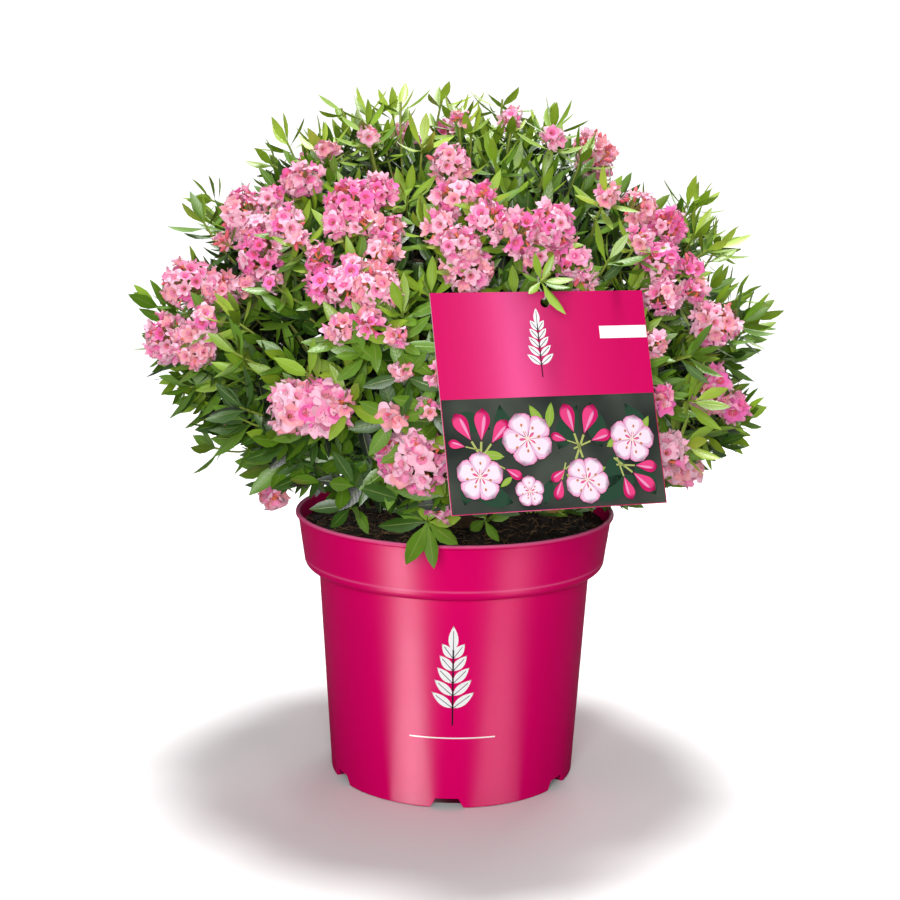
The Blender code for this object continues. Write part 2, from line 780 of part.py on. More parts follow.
def add_core(parts, mass, label):
    """The dense inside of a mass, as a low globe."""
    bm = bmesh.new()
    bmesh.ops.create_icosphere(bm, subdivisions=2, radius=1.0)
    for vert in bm.verts:
        direction = vert.co.normalized()
        vert.co = mass.centre + direction * core_length(mass, label, direction)
    add_part(parts, bm)


def twig_tips(masses, label):
    """Even twig tips over the crown; those nearest the flower places move there and carry them."""
    tips = [(direction, False) for direction in even_headings(TWIG_COUNT)]
    for turn, lift in FRONT_BLOOMS:
        wanted = heading(turn, lift)
        plain = [number for number, (_, blooms) in enumerate(tips) if not blooms]
        closest = max(plain, key=lambda number: tips[number][0].dot(wanted))
        tips[closest] = (wanted, True)
    for number in range(0, len(tips), BACK_BLOOM_STEP):
        direction = tips[number][0]
        if direction.y > 0:
            tips[number] = (direction, True)
    shares = {mass.name: [] for mass in masses}
    for direction, blooms in tips:
        shares[nearest_mass(masses, direction).name].append((direction, blooms))
    return shares


def fuse(name, parts, finish):
    """Join every shape in a collection into one closed body, and drop loose scraps."""
    base = parts.objects[0]
    parts.objects.unlink(base)
    bpy.context.scene.collection.objects.link(base)
    union = base.modifiers.new("fuse", "BOOLEAN")
    union.operation = "UNION"
    union.solver = "EXACT"
    union.operand_type = "COLLECTION"
    union.collection = parts
    depsgraph = bpy.context.evaluated_depsgraph_get()
    mesh = bpy.data.meshes.new_from_object(base.evaluated_get(depsgraph))
    for shape in list(parts.objects):
        bpy.data.objects.remove(shape, do_unlink=True)
    bpy.data.objects.remove(base, do_unlink=True)
    bpy.data.collections.remove(parts)
    keep_largest_shell(mesh)
    mesh.name = name
    mesh.materials.clear()
    return add_object(name, mesh, finish)


def keep_largest_shell(mesh):
    """Keep the biggest connected surface; a sealed hollow's wall or a scrap is another one."""
    bm = bmesh.new()
    bm.from_mesh(mesh)
    left = set(bm.verts)
    largest = set()
    while left:
        shell = {left.pop()}
        edge = list(shell)
        while edge:
            vert = edge.pop()
            for link in vert.link_edges:
                other = link.other_vert(vert)
                if other not in shell:
                    shell.add(other)
                    edge.append(other)
        left -= shell
        if len(shell) > len(largest):
            largest = shell
    bmesh.ops.delete(bm, geom=[vert for vert in bm.verts if vert not in largest], context="VERTS")
    bm.to_mesh(mesh)
    bm.free()


def make_foliage(mass, tips, masses, label, finish):
    """One mass of foliage: stem, core, twigs, whorls of leaves and flower heads, fused."""
    rng = random.Random(SEED + 101 * masses.index(mass))
    parts = bpy.data.collections.new(f"parts {mass.name}")
    bpy.context.scene.collection.children.link(parts)
    add_core(parts, mass, label)
    stem_foot = mass.bough_tip + mass.heading * GAP
    add_twig(parts, stem_foot, mass.centre, STEM_RADIUS, STEM_RADIUS)
    blooms = []
    plain = []
    for direction, wants_bloom in tips:
        if wants_bloom:
            spot, radius = seat_bloom(mass, label, direction, blooms)
            if radius > 0:
                blooms.append((spot, radius, direction))
                continue
        plain.append(direction)
    for spot, radius, direction in blooms:
        add_bloom(parts, spot, radius, rng)
        add_twig(parts, mass.centre, spot, TWIG_FOOT_RADIUS, TWIG_TIP_RADIUS)
        axis = twig_axis(mass, spot, direction)
        add_whorl(parts, mass, label, spot - axis * radius, axis, rng)
    for direction in plain:
        tip = seat_tip(mass, label, direction)
        if tip is None:
            continue
        add_twig(parts, mass.centre, tip, TWIG_FOOT_RADIUS, TWIG_TIP_RADIUS)
        axis = twig_axis(mass, tip, direction)
        add_whorl(parts, mass, label, tip, axis, rng)
        add_whorl(parts, mass, label, mass.centre.lerp(tip, BACK_WHORL), axis, rng, BACK_LEAVES)
    if mass is nearest_mass(masses, (hanger_axis_point(label) - HEART).normalized()):
        add_hanger(parts, mass, label, rng)
    return fuse(f"foliage_{mass.name}", parts, finish)


def twig_axis(mass, tip, direction):
    """A twig's tip turns from its own line towards the open and the light."""
    out = (tip - mass.centre).normalized()
    return (out + direction * TWIG_OUTTURN + Vector((0, 0, TWIG_UPTURN))).normalized()


def draw_in(mass, spot, room):
    """Move a place that lies close to a wall towards the middle line of its mass."""
    along = (spot - HEART).dot(mass.heading)
    inward = (HEART + mass.heading * along - spot).normalized()
    for _ in range(NUDGES):
        if mass.holds([spot], room):
            return spot
        spot = spot + inward * NUDGE
    return None


def seat_tip(mass, label, direction):
    """Where a leafy twig ends, or None where its mass has no room for it."""
    tip = HEART + direction * crown_reach(direction, TWIG_REACH)
    if label.hides(tip) and label.depth_behind(tip) < TIP_BEHIND_LABEL:
        tip -= label.front * (TIP_BEHIND_LABEL - label.depth_behind(tip))
    return draw_in(mass, tip, TIP_ROOM)


def seat_bloom(mass, label, direction, others):
    """Place and radius of the largest flower head that fits along a direction, or radius 0."""
    radius = BLOOM_RADIUS
    while radius >= SMALLEST_BLOOM:
        spot = HEART + direction * (crown_reach(direction) - radius)
        depth = radius + LABEL_CLEARANCE
        if label.hides(spot) and label.depth_behind(spot) < depth:
            spot -= label.front * (depth - label.depth_behind(spot))
        spot = draw_in(mass, spot, radius)
        if spot is not None:
            ball = [spot + side * radius for side in even_headings(BLOOM_FEELERS, -90.0)]
            apart = all((spot - other).length > BLOOM_SPACING * (radius + size)
                        for other, size, _ in others)
            if apart and clear_of_pot(ball) and label.clears(ball) and label.thread_clears(ball):
                return spot, radius
        radius -= BLOOM_STEP
    return None, 0.0


def add_hanger(parts, mass, label, rng):
    """The twig that the label's thread hangs over."""
    seat = hanger_axis_point(label)
    end = seat + label.front * HANGER_OVERRUN
    behind = seat - label.front * HANGER_OVERRUN
    joint = behind + label.front * HANGER_SINK
    add_twig(parts, mass.centre, joint, TWIG_FOOT_RADIUS, HANGER_RADIUS)
    add_twig(parts, behind, end, HANGER_RADIUS, HANGER_RADIUS, HANGER_SIDES)
    add_whorl(parts, mass, label, end, label.front, rng, LEAVES_IN_WHORL, True)


def main():
    clear_scene()
    plastic = material("pot plastic", (0.58, 0.0, 0.10), 0.32)
    peat = material("potting soil", (0.02, 0.012, 0.008), 0.95)
    bark = material("bark", (0.16, 0.10, 0.06), 0.85)
    leafage = material("foliage", (0.08, 0.22, 0.03), 0.5)
    card = material("label card", (0.70, 0.0, 0.14), 0.4)
    elastic = material("label thread", (0.75, 0.74, 0.70), 0.5)
    label = Label()
    make_pot(plastic)
    make_soil(peat)
    make_trunk(bark)
    masses = make_masses()
    shares = twig_tips(masses, label)
    for mass in masses:
        make_bough(mass, bark)
    for mass in masses:
        make_foliage(mass, shares[mass.name], masses, label, leafage)
    make_label(label, card)
    make_thread(label, elastic)


main()
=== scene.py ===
"""A compact rhododendron in full flower, in its nursery pot, with a hang label on a thread.

Metres, +Z up. The origin is the middle of the pot's flat underside. The camera looks along +Y and
a little downwards, with +X to the right. Turns are to the right of the front (-Y) and lifts are
above level, both in degrees, seen from the crown's heart.
"""

import random
from dataclasses import dataclass
from functools import lru_cache
from math import asin, atan2, cos, degrees, exp, hypot, pi, radians, sin, sqrt, tan, tau

import bmesh
import bpy
import numpy as np
from bpy.props import FloatProperty, FloatVectorProperty, IntProperty, PointerProperty
from mathutils import Matrix, Vector, noise


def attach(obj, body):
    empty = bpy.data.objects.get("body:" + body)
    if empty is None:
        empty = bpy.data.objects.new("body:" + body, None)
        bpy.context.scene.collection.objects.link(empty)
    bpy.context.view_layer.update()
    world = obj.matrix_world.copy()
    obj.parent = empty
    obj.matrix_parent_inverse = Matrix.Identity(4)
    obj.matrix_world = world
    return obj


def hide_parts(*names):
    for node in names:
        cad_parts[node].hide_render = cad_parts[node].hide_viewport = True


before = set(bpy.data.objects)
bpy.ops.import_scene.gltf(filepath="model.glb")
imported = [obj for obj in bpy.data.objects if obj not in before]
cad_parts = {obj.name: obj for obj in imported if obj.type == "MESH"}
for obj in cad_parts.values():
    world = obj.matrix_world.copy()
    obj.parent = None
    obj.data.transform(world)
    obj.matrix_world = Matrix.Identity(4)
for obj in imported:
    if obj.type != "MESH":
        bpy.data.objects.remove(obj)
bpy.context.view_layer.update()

bl_info = {
    "name": "Potted flowering shrub",
    "version": (1, 0),
    "blender": (4, 5, 0),
    "location": "View3D > Sidebar > Potted shrub",
    "description": "Builds a compact flowering shrub in its nursery pot, with a hang label",
    "category": "Add Mesh",
}


# The body that every piece is attached to, a small gap between parts, and up
BODY = "root"
GAP = 0.0003
UP = Vector((0, 0, 1))

# Pot
POT_HEIGHT = 0.194
RIM_RADIUS = 0.115
LIP_ROLL = 0.0017
COLLAR_TOP_RADIUS = 0.1131
COLLAR_FOOT_RADIUS = 0.1088
COLLAR_FOOT = 0.1600
COLLAR_ROUNDING = 0.0070
SHOULDER_RADIUS = 0.0982
SHOULDER = 0.1520
BASE_RADIUS = 0.0891
FOOT_ROUNDING = 0.0012
POT_WALL = 0.0018
POT_FLOOR = 0.0028
NOTCHES = 6
NOTCH_TURN = -2.0
NOTCH_HEIGHT = 0.0072
NOTCH_FOOT_WIDTH = 0.0235
NOTCH_TOP_WIDTH = 0.0160
NOTCH_REACH_IN = 0.0095
NOTCH_OVERCUT_OUT = 0.004
NOTCH_OVERCUT_DOWN = 0.002
POT_SHARP_FROM = 34.0
# The collar's lower edge, where a painted highlight lightens it
LEDGE_RISE = 0.0006
LEDGE_WIDTH = 0.0011
# The sprig printed on the pot, and the line below it
PRINT_HEIGHT = 0.062
PRINT_FOOT = 0.066
PRINT_PROUD = 0.00012
VEIN_WIDTH = 0.00045
VEIN_SPAN = (0.02, 0.80)
PRINT_LINE_HALF = 0.030
PRINT_LINE_DROP = 0.0135
PRINT_LINE_WIDTH = 0.0009
PRINT_STEM = ((0.0, -0.004), (0.0, 0.82 * PRINT_HEIGHT))
PRINT_STEM_WIDTH = 0.0011

# Soil
SOIL_LEVEL = 0.1830
SOIL_FOOT_CHAMFER = 0.0110
SOIL_ROWS = 74
SOIL_STEPS = 220
SOIL_SHARP_FROM = 70.0
SOIL_ROOM = 0.004
SMALL_CRUMBS = (0.0005, 0.0013)
LARGE_CRUMBS = (0.0013, 0.0026)
SMALL_CRUMB_SHARE = 0.8
FIBRE_RADII = (0.00022, 0.00026, 0.00024, 0.00012)

# Trunk and boughs
TRUNK_FOOT = SOIL_LEVEL + GAP
TRUNK_FORK = 0.2480
TRUNK_FLARE_RADIUS = 0.0145
TRUNK_RADIUS = 0.0086
FORK_RADIUS = 0.0068
FLARE_HEIGHT = 0.014
TRUNK_LEAN = (0.006, -0.004)
FLARE_FADE = 3.2
BUTTRESSES = 4
BUTTRESS_SWELL = 0.16
BUTTRESS_FADE = 2.5
BUTTRESS_TURN = 0.6
TRUNK_RINGS = 46
TRUNK_SIDES = 40
BARK_DEPTH = 0.0007
BOUGH_LENGTH = 0.088
BOUGH_FOOT_RADIUS = 0.0033
BOUGH_TIP_RADIUS = 0.0023
BOUGH_OUTWARD = 0.80
BOUGH_UPWARD = 0.75
BOUGH_BEND = 0.35
BOUGH_SUNK = 0.0012
BOUGH_STEPS = 18

# Crown
HEART = Vector((0.0, 0.0, 0.250))
CROWN_HALF_WIDTH = 0.228
CROWN_HALF_DEPTH = 0.214
CROWN_WAIST = 0.325
CROWN_RISE = 0.168
CROWN_DROP = 0.135
CROWN_FULLNESS = 2.3
CROWN_TOP_SHIFT = -0.012
CROWN_TOP = CROWN_WAIST + CROWN_RISE
LOWEST_LIFT = -27.0
TIERS = (
    ("low", 6, 12.0, -8.0, 0.207),
    ("mid", 6, -20.0, 24.0, 0.226),
    ("high", 4, 38.0, 60.0, 0.240),
)
TURN_JITTER = 5.0
LIFT_JITTER = 3.0
MASS_MIDDLE = 0.5
CORE_SHARE = 0.66
STEM_RADIUS = 0.0021
COARSE_TWIGS = 88
COARSE_REACH = 0.62
SEED = 31
# A leaf's turn round its twig from the leaf below it, in radians
LEAF_TURN = 2.39996
# Leaf tips may stand out past the crown's outline up to this level
LEAF_OVERHANG = 1.06
# Leaves take lighter tones above this height, partly young growth and partly painted light
TONES_FROM = 0.20

# Flower heads on the side that the view shows: turn, lift, radius in its own unit, look
HEAD_UNIT = 0.00106
FRONT_HEADS = (
    (-57, 31, 11, "salmon"), (-57, 20, 13, "salmon"), (-55, 25, 7, "pink"), (-60, 44, 15, "pink"),
    (-47, 38, 16, "orchid"), (-48, 41, 11, "pink"), (-37, 41, 11, "pink"), (-50, 52, 10, "salmon"),
    (-50, 47, 8, "pink"), (-59, 38, 6, "bud"), (-32, 38, 6, "salmon"), (-48, 32, 7, "salmon"),
    (-37, 32, 7, "pink"), (-25, 41, 7, "pink"), (-50, 60, 7, "salmon"), (-32, 62, 6, "salmon"),
    (-24, 46, 15, "orchid"), (-19, 49, 11, "orchid"), (-15, 42, 11, "pink"),
    (-20, 42, 8, "salmon"), (-27, 36, 9, "orchid"), (-25, 32, 11, "orchid"), (-20, 35, 6, "pink"),
    (-20, 32, 12, "pink"), (-15, 32, 13, "salmon"), (-15, 37, 11, "salmon"), (-15, 26, 9, "pink"),
    (-20, 25, 8, "salmon"), (-10, 24, 6, "salmon"), (-29, 13, 17, "pink"), (-25, 13, 17, "pink"),
    (-20, 14, 6, "salmon"), (-7, 8, 7, "pink"), (-8, 5, 20, "pink"), (-9, 19, 6, "bud"),
    (-11, 12, 6, "bud"), (-5, 14, 6, "salmon"), (-3, 19, 6, "pink"), (-1, 70, 6, "salmon"),
    (43, 77, 8, "salmon"), (33, 62, 6, "pink"), (-3, 59, 12, "salmon"), (-1, 49, 13, "pink"),
    (-4, 42, 9, "salmon"), (0, 39, 11, "pink"), (6, 43, 11, "pink"), (11, 40, 12, "pink"),
    (18, 41, 14, "orchid"), (25, 34, 8, "salmon"), (35, 47, 6, "salmon"), (47, 47, 12, "bud"),
    (40, 40, 7, "salmon"), (55, 43, 13, "orchid"), (46, 37, 13, "orchid"), (44, 31, 13, "pink"),
    (55, 35, 7, "orchid"), (54, 31, 9, "pink"), (57, 25, 15, "pink"), (37, 23, 8, "salmon"),
    (41, 14, 6, "pink"), (44, 4, 11, "pink"), (55, -1, 11, "salmon"), (5, 47, 6, "orchid"),
)
# Hollows in the crown's outline: turn, lift, width, height in degrees, depth as a share
HOLLOWS = (
    (-85, 33, 50, 9, 0.13), (-75, 53, 45, 8, 0.05), (-85, 48, 50, 12, 0.03), (-85, 4, 40, 7, 0.14),
    (-85, -14, 45, 10, 0.17), (92, 56, 44, 8.5, 0.24), (92, 33, 45, 9, 0.09),
    (92, 14, 45, 5, 0.18), (92, -11, 45, 6, 0.1), (92, -22, 45, 9, 0.08),
)
BACK_HEADINGS = 130
BACK_SHARE = 0.74
BACK_RADII = (0.0095, 0.0175)
BACK_CLUSTERS = (2, 3, 3, 4)
CLUSTER_SPREAD = 0.15
BACK_LOOKS = ("pink", "pink", "salmon", "orchid", "salmon", "pink", "bud")
FRONT_SPACING = 0.31
BACK_SPACING = 0.46
TOP_LIFT = 0.76
TOP_SHARE = 0.10
BACK_FROM = 0.36
SUNK_ABOVE = 0.60
HEAD_ROOM = 0.008
# How deep a head's middle sits below the outline, in its radii
HEAD_DEPTH = 0.80
SUNK_DEPTH = 1.8
# The skirt is the crown's lowest part; it is thinner, by a share of its twigs
SKIRT_LIFT = -6.0
SKIRT_THINNING = 0.36
# The thin place low on the left, in degrees, and the share of twigs left out there
LOOSE_TURN = -88.0
LOOSE_WIDTH = 50.0
LOOSE_SHARE = 0.85
LOOSE_BELOW = 0.13
# Leaves of the hanger twig: across, up and out in the label's axes, size, tone
HANGER_LEAVES = (
    (-0.22, 0.97, 0.25, 0.66, 1.2), (0.5, 0.85, 0.25, 0.66, 1.0), (0.98, -0.02, 0.25, 0.76, 1.4),
    (0.88, -0.42, 0.3, 0.68, 2.4), (0.4, -0.9, 0.18, 0.98, 1.4), (-0.72, -0.62, 0.25, 0.56, 1.2),
    (-0.9, 0.25, 0.15, 0.54, 2.2),
)
RIM_SPRIG = Vector((-0.018, -0.121, 0.2118))
RIM_SPRIG_AXIS = Vector((0.05, -0.80, 0.45)).normalized()
# Leaves of the rim sprig: direction, size, tone
RIM_LEAVES = (
    (-0.98, -0.25, -0.08, 1.1, 2.6), (-0.42, -0.55, -0.8, 1.12, 1.8),
    (0.16, -0.6, -0.88, 1.05, 1.8), (0.72, -0.5, -0.42, 0.9, 2.4), (0.92, -0.3, 0.22, 0.78, 1.4),
    (0.36, -0.3, 0.82, 0.7, 1.0), (-0.25, -0.25, 0.9, 0.72, 1.2), (-0.7, -0.3, 0.48, 0.85, 2.0),
)
# Sprigs given one by one: place, axis, leaves, vigour, tone shift
SET_SPRIGS = (
    ((-0.1948, -0.03, 0.2899), (-0.8, -0.2, -0.35), 6, 0.8, -0.6),
    ((-0.175, -0.05, 0.2917), (-0.35, -0.45, -0.8), 6, 0.82, -0.4),
    ((-0.1643, -0.05, 0.271), (-0.9, -0.3, -0.1), 7, 0.82, -0.4),
    ((-0.1704, -0.03, 0.242), (-0.75, -0.2, 0.45), 5, 0.84, -0.4),
    ((-0.1114, -0.1, 0.2465), (-0.3, -0.85, -0.3), 7, 1.18, 0.3),
    ((-0.1257, -0.12, 0.3051), (0.0, -0.95, 0.1), 7, 1.12, -0.5),
    ((0.196, -0.02, 0.35), (0.85, -0.2, 0.38), 7, 0.96, -0.4),
    ((0.1856, 0.0, 0.3856), (0.7, -0.2, 0.5), 6, 0.85, -0.4),
    ((0.1689, 0.0, 0.4133), (0.6, -0.1, 0.75), 7, 0.9, -0.4),
    ((0.189, -0.03, 0.256), (0.75, -0.3, -0.45), 7, 0.95, -0.9),
    ((0.152, -0.13, 0.295), (0.6, -0.7, 0.25), 7, 1.0, -1.0),
    ((0.148, -0.13, 0.266), (0.75, -0.55, 0.1), 8, 1.05, -1.6),
    ((0.166, -0.09, 0.265), (0.7, -0.5, -0.3), 6, 1.0, -0.8),
    ((0.0212, -0.095, 0.2085), (0.2, -0.8, 0.4), 6, 0.66, -0.6),
    ((-0.132, 0.0, 0.438), (-0.8, -0.2, 0.55), 7, 0.85, -0.2),
    ((-0.176, 0.0, 0.413), (-0.9, -0.15, 0.25), 7, 0.9, 0.0),
    ((-0.07, -0.095, 0.214), (-0.2, -0.9, -0.1), 6, 0.9, 0.0),
)
# Flower heads given one by one: place, radius, axis, look
SET_HEADS = (
    ((-0.01, -0.127, 0.224), 0.0085, (0.2, -0.8, 0.4), "pink"),
    ((-0.125, -0.06, 0.215), 0.01, (-0.5, -0.6, -0.4), "salmon"),
    ((-0.1918, -0.08, 0.324), 0.016, (-0.85, -0.45, 0.2), "pink"),
    ((-0.166, -0.103, 0.323), 0.015, (-0.7, -0.65, 0.2), "salmon"),
    ((0.0049, -0.169, 0.3785), 0.0155, (0.05, -0.8, 0.55), "salmon"),
    ((0.0476, -0.162, 0.3871), 0.012, (0.1, -0.75, 0.6), "pink"),
    ((0.0683, -0.158, 0.383), 0.012, (0.2, -0.75, 0.55), "pink"),
    ((-0.1765, -0.08, 0.36), 0.016, (-0.8, -0.45, 0.4), "pink"),
    ((-0.154, -0.087, 0.354), 0.012, (-0.7, -0.65, 0.35), "salmon"),
    ((0.176, 0.035, 0.328), 0.015, (0.9, 0.25, 0.2), "pink"),
    ((0.186, 0.03, 0.274), 0.014, (0.95, 0.2, 0.0), "orchid"),
    ((0.164, 0.02, 0.225), 0.012, (0.9, 0.15, -0.2), "salmon"),
    ((0.098, 0.06, 0.437), 0.014, (0.5, 0.3, 0.8), "salmon"),
    ((0.144, 0.06, 0.392), 0.016, (0.75, 0.35, 0.5), "pink"),
    ((-0.16, 0.03, 0.35), 0.017, (-0.85, 0.2, 0.4), "pink"),
    ((-0.195, 0.035, 0.311), 0.015, (-0.95, 0.2, 0.1), "salmon"),
    ((-0.145, 0.05, 0.378), 0.015, (-0.75, 0.3, 0.55), "orchid"),
    ((-0.112, 0.06, 0.416), 0.013, (-0.5, 0.35, 0.75), "pink"),
    ((-0.1, -0.1, 0.43), 0.0125, (-0.45, -0.6, 0.65), "pink"),
    ((-0.162, 0.05, 0.25), 0.014, (-0.9, 0.3, 0.0), "pink"),
    ((0.0913, -0.02, 0.4496), 0.0155, (0.5, -0.25, 0.8), "bud"),
    ((0.164, -0.108, 0.298), 0.014, (0.7, -0.7, 0.1), "pink"),
    ((0.186, -0.076, 0.2817), 0.0095, (0.75, -0.6, -0.1), "orchid"),
)

# Label
LABEL_WIDTH = 0.137
LABEL_HEIGHT = 0.131
LABEL_THICKNESS = 0.0009
LABEL_CENTRE = Vector((0.0545, -0.2030, 0.3060))
LABEL_YAW = 20.0
LABEL_LEAN = 20.0
LABEL_ROLL = -0.4
LABEL_COVER = 0.012
LABEL_CLEARANCE = 0.0022
HOLE_RADIUS = 0.0030
HOLE_ACROSS = 0.0035
HOLE_DROP = 0.0068
HOLE_CUT_DEPTH = 0.01
THREAD_RADIUS = 0.00055
THREAD_ROOM = (0.0050, 0.0050, 0.0105)
LOOP_RADIUS = 0.0026
LOOP_HEIGHT = 0.0150
LOOP_TWIST_START = 0.35
LOOP_TWIST_SHARE = 0.4
THREAD_POINTS = 72
THREAD_TWIST = 0.9
HANGER_RADIUS = 0.00155
HANGER_OVERRUN = 0.012
POT_CLEARANCE = 0.0015
SKIRT_HEIGHT = 0.2150
SKIRT_SLOPE = 0.23
SKIRT_HALF_WIDTH = 0.100
SKIRT_RIGHT = 0.124
SKIRT_BACK = -0.03
SKIRT_INNER = -0.06
LONG_SHOOTS = 0.26
# Leaves grow broader below this height, over this span
LEAF_CHANGE_TOP = 0.37
LEAF_CHANGE_SPAN = 0.13
# The leaves on the right stay slender
SLENDER_SIDE = 0.40
SLENDER_FROM = 0.06

# Camera, as fitted to the view
CAMERA_PLACE = (-0.004, -1.1567, 0.456)
CAMERA_PITCH = 10.754
CAMERA_ROLL = 0.73
FOCAL_PIXELS = 1633.5
PICTURE_PIXELS = 900
SENSOR_WIDTH = 36.0

# Stage
WORLD_HORIZON = 0.10
WORLD_ZENITH = 0.60
WORLD_SEEN = 1.15
BOUNCE = 0.20
SUN_SPREAD = 17.0
SUN_PLACE = (0.04, 0.11, 2.0)
FLOOR_RADIUS = 30.0
FLOOR_DROP = 0.0002
FLOOR_STEPS = 64
GLINT_HEIGHT = 0.22
GLINT_MIDDLE = 0.060
GLINT_TILT = 30.0
GLINT_SPREAD = 34.0
# The cards that the pot mirrors: name, turn, distance, turn of the band, width, share of power
GLINT_CARDS = (
    ("left glint", -24.9, 0.1375, -18.4, 0.031, 4.10),
    ("right glint", 28.1, 0.137, 20.8, 0.036, 1.40),
)

# Leaf tones, youngest to oldest; also painted light high up and painted shade deep in the crown
LEAF_TONES = (
    ("leaves_fresh", (172, 200, 62)),
    ("leaves_light", (135, 170, 38)),
    ("leaves_green", (98, 141, 28)),
    ("leaves_dark", (56, 94, 22)),
    ("leaves_deep", (20, 36, 16)),
)
# Petal tones from the palest to the deepest; the inner half of a petal takes the next one
PETAL_TONES = (
    ("petals_pale", (240, 184, 204)),
    ("petals_salmon", (238, 160, 168)),
    ("petals_pink", (237, 145, 184)),
    ("petals_orchid", (238, 110, 180)),
    ("petals_deep", (226, 90, 136)),
)
# Painted glow: the petals give off light in their own colour, standing in for light that comes
# through them
PETAL_GLOW = 0.08
INNER_TONES = (2, 2, 3, 4, 4)
TIP_TONES = (0, 0, 0, 2, 3)
LOOKS = {"pink": (0, 2, 2, 0, 1, 3), "salmon": (1, 0, 1, 2), "orchid": (3, 2, 3, 0, 3),
         "bud": (1, 1, 0, 1)}
BUD_SHARES = {"pink": 0.03, "salmon": 0.03, "orchid": 0.03, "bud": 0.40}
THROAT_TONE = ("flower_throats", (216, 116, 80))
# Stations along a leaf blade: share of its length, share of its half width
LEAF_STATIONS = ((0.0, 0.10), (0.14, 0.22), (0.34, 0.78), (0.56, 1.0), (0.80, 0.66), (0.93, 0.27),
                 (1.0, 0.03))
# Rings of an open floret of unit radius: radius, height, half of a lobe's angle in degrees
OPEN_RINGS = ((0.08, -1.00, 36.0), (0.18, -0.44, 36.0), (0.40, -0.08, 39.0), (0.76, 0.12, 39.0),
              (1.08, 0.02, 15.0))
CUPPED_RINGS = ((0.08, -1.00, 36.0), (0.18, -0.42, 36.0), (0.34, 0.00, 39.0), (0.60, 0.36, 38.0),
                (0.86, 0.56, 16.0))
CUPPED_SHARE = 0.42
LOBE_UNEVENNESS = 0.12
FLORET_COLUMNS = 4
BUD_RINGS = ((0.05, -0.62), (0.20, -0.34), (0.31, 0.06), (0.27, 0.42), (0.14, 0.72), (0.02, 0.84))
BUD_SIDES = 7
STAMENS = 3
# Where an open floret and a bud join their stalks, in their own size
FLORET_FOOT = -0.98
BUD_FOOT = -0.60
# Florets to a head, their size, and the height that parts large ones from small
SMALL_CROWDING = 4.8
LARGE_CROWDING = 6.2
SMALL_FLORET = 0.82
LARGE_FLORET = 1.22
SMALL_ABOVE = 0.30
LOWEST_FLORET = -34.0

# Print on the label
PANEL_TOP = 0.00182
BAR_LEFT = 0.270
BAR_HEIGHT = (0.276, 0.334)
LAYER = 0.00006
GLOW_BAND = (-0.018, 0.017)
PRINT_EDGE = 0.0004
PRINT_MARGIN = 0.0008
PRINT_TOP = 0.0012
LABEL_SPRIG = (-0.003, 0.016)
LABEL_SPRIG_HEIGHT = 0.036
LABEL_STEM = (0.0135, 0.0455)
# Rings of a printed blossom: ink, reach, turn in degrees, width
BLOSSOM_RINGS = (("blush", 1.0, 0, 0.92), ("lilac", 0.96, 0, 0.80), ("pale", 0.91, 2, 0.58),
                 ("throat", 0.34, 0, 0.10))
# Coats of a printed bud: ink, turn in degrees, reach, width
BUD_COATS = (("deep", 0, 1.0, 0.50), ("pink", 5, 0.93, 0.36), ("blush", -5, 0.84, 0.10))
# Inks of the lower panel, from the bottom layer up
LABEL_INKS = (
    ("shade", (40, 66, 50)), ("leaf", (132, 164, 62)), ("vein", (160, 168, 96)),
    ("deep", (190, 26, 94)), ("pink", (214, 62, 120)), ("blush", (216, 136, 176)),
    ("lilac", (216, 176, 202)), ("pale", (228, 208, 222)), ("throat", (206, 84, 132)),
    ("stamen", (250, 226, 214)), ("anther", (190, 112, 62)),
)
# Blossoms printed on the lower panel: across, up, radius, spin
LABEL_FLOWERS = (
    (-0.049, -0.044, 0.015, 12), (-0.017, -0.023, 0.0165, 40), (0.05, -0.026, 0.015, 5),
    (0.018, -0.049, 0.0145, 58), (-0.019, -0.054, 0.0095, 20),
)
# Buds: across, up, direction, length
LABEL_BUDS = (
    (-0.052, -0.023, 118, 0.019), (-0.046, -0.0235, 82, 0.02), (-0.04, -0.025, 50, 0.018),
    (-0.056, -0.026, 165, 0.011), (-0.033, -0.04, 330, 0.012), (0.013, -0.021, 105, 0.019),
    (0.019, -0.022, 65, 0.02), (0.023, -0.026, 20, 0.015), (0.008, -0.025, 160, 0.011),
    (0.042, -0.048, 285, 0.015), (0.048, -0.046, 320, 0.018), (0.05, -0.042, 355, 0.015),
    (0.005, -0.042, 215, 0.012), (0.002, -0.048, 250, 0.013),
)
# Leaves in light, then leaves in shade: across, up, direction, length, width as a share
LABEL_LEAVES = (
    (-0.006, -0.0175, 118, 0.017, 0.36), (-0.003, -0.0175, 78, 0.0165, 0.34),
    (-0.0325, -0.033, 170, 0.016, 0.34), (-0.029, -0.045, 215, 0.01, 0.36),
    (0.033, -0.03, 30, 0.014, 0.36), (0.005, -0.045, 330, 0.011, 0.38),
    (0.031, -0.042, 200, 0.013, 0.34), (0.056, -0.024, 60, 0.014, 0.36),
)
LABEL_SHADE = (
    (-0.062, -0.008, 340, 0.024, 0.5), (-0.03, -0.03, 95, 0.028, 0.46),
    (0.002, -0.03, 60, 0.03, 0.44), (0.03, -0.03, 100, 0.028, 0.46),
    (0.06, -0.025, 120, 0.024, 0.5), (-0.03, -0.06, 160, 0.03, 0.42),
    (-0.005, -0.06, 200, 0.026, 0.46), (0.02, -0.06, 20, 0.034, 0.42),
    (0.062, -0.06, 120, 0.024, 0.5), (0.03, -0.055, 60, 0.028, 0.44),
    (-0.06, -0.06, 70, 0.024, 0.44), (-0.005, -0.048, 250, 0.015, 0.5),
)


def tint(red, green, blue):
    """A screen colour, 0 to 255, as the linear values that materials use."""
    linear = []
    for value in (red, green, blue):
        share = value / 255
        linear.append(share / 12.92 if share <= 0.04045 else ((share + 0.055) / 1.055) ** 2.4)
    return tuple(linear)


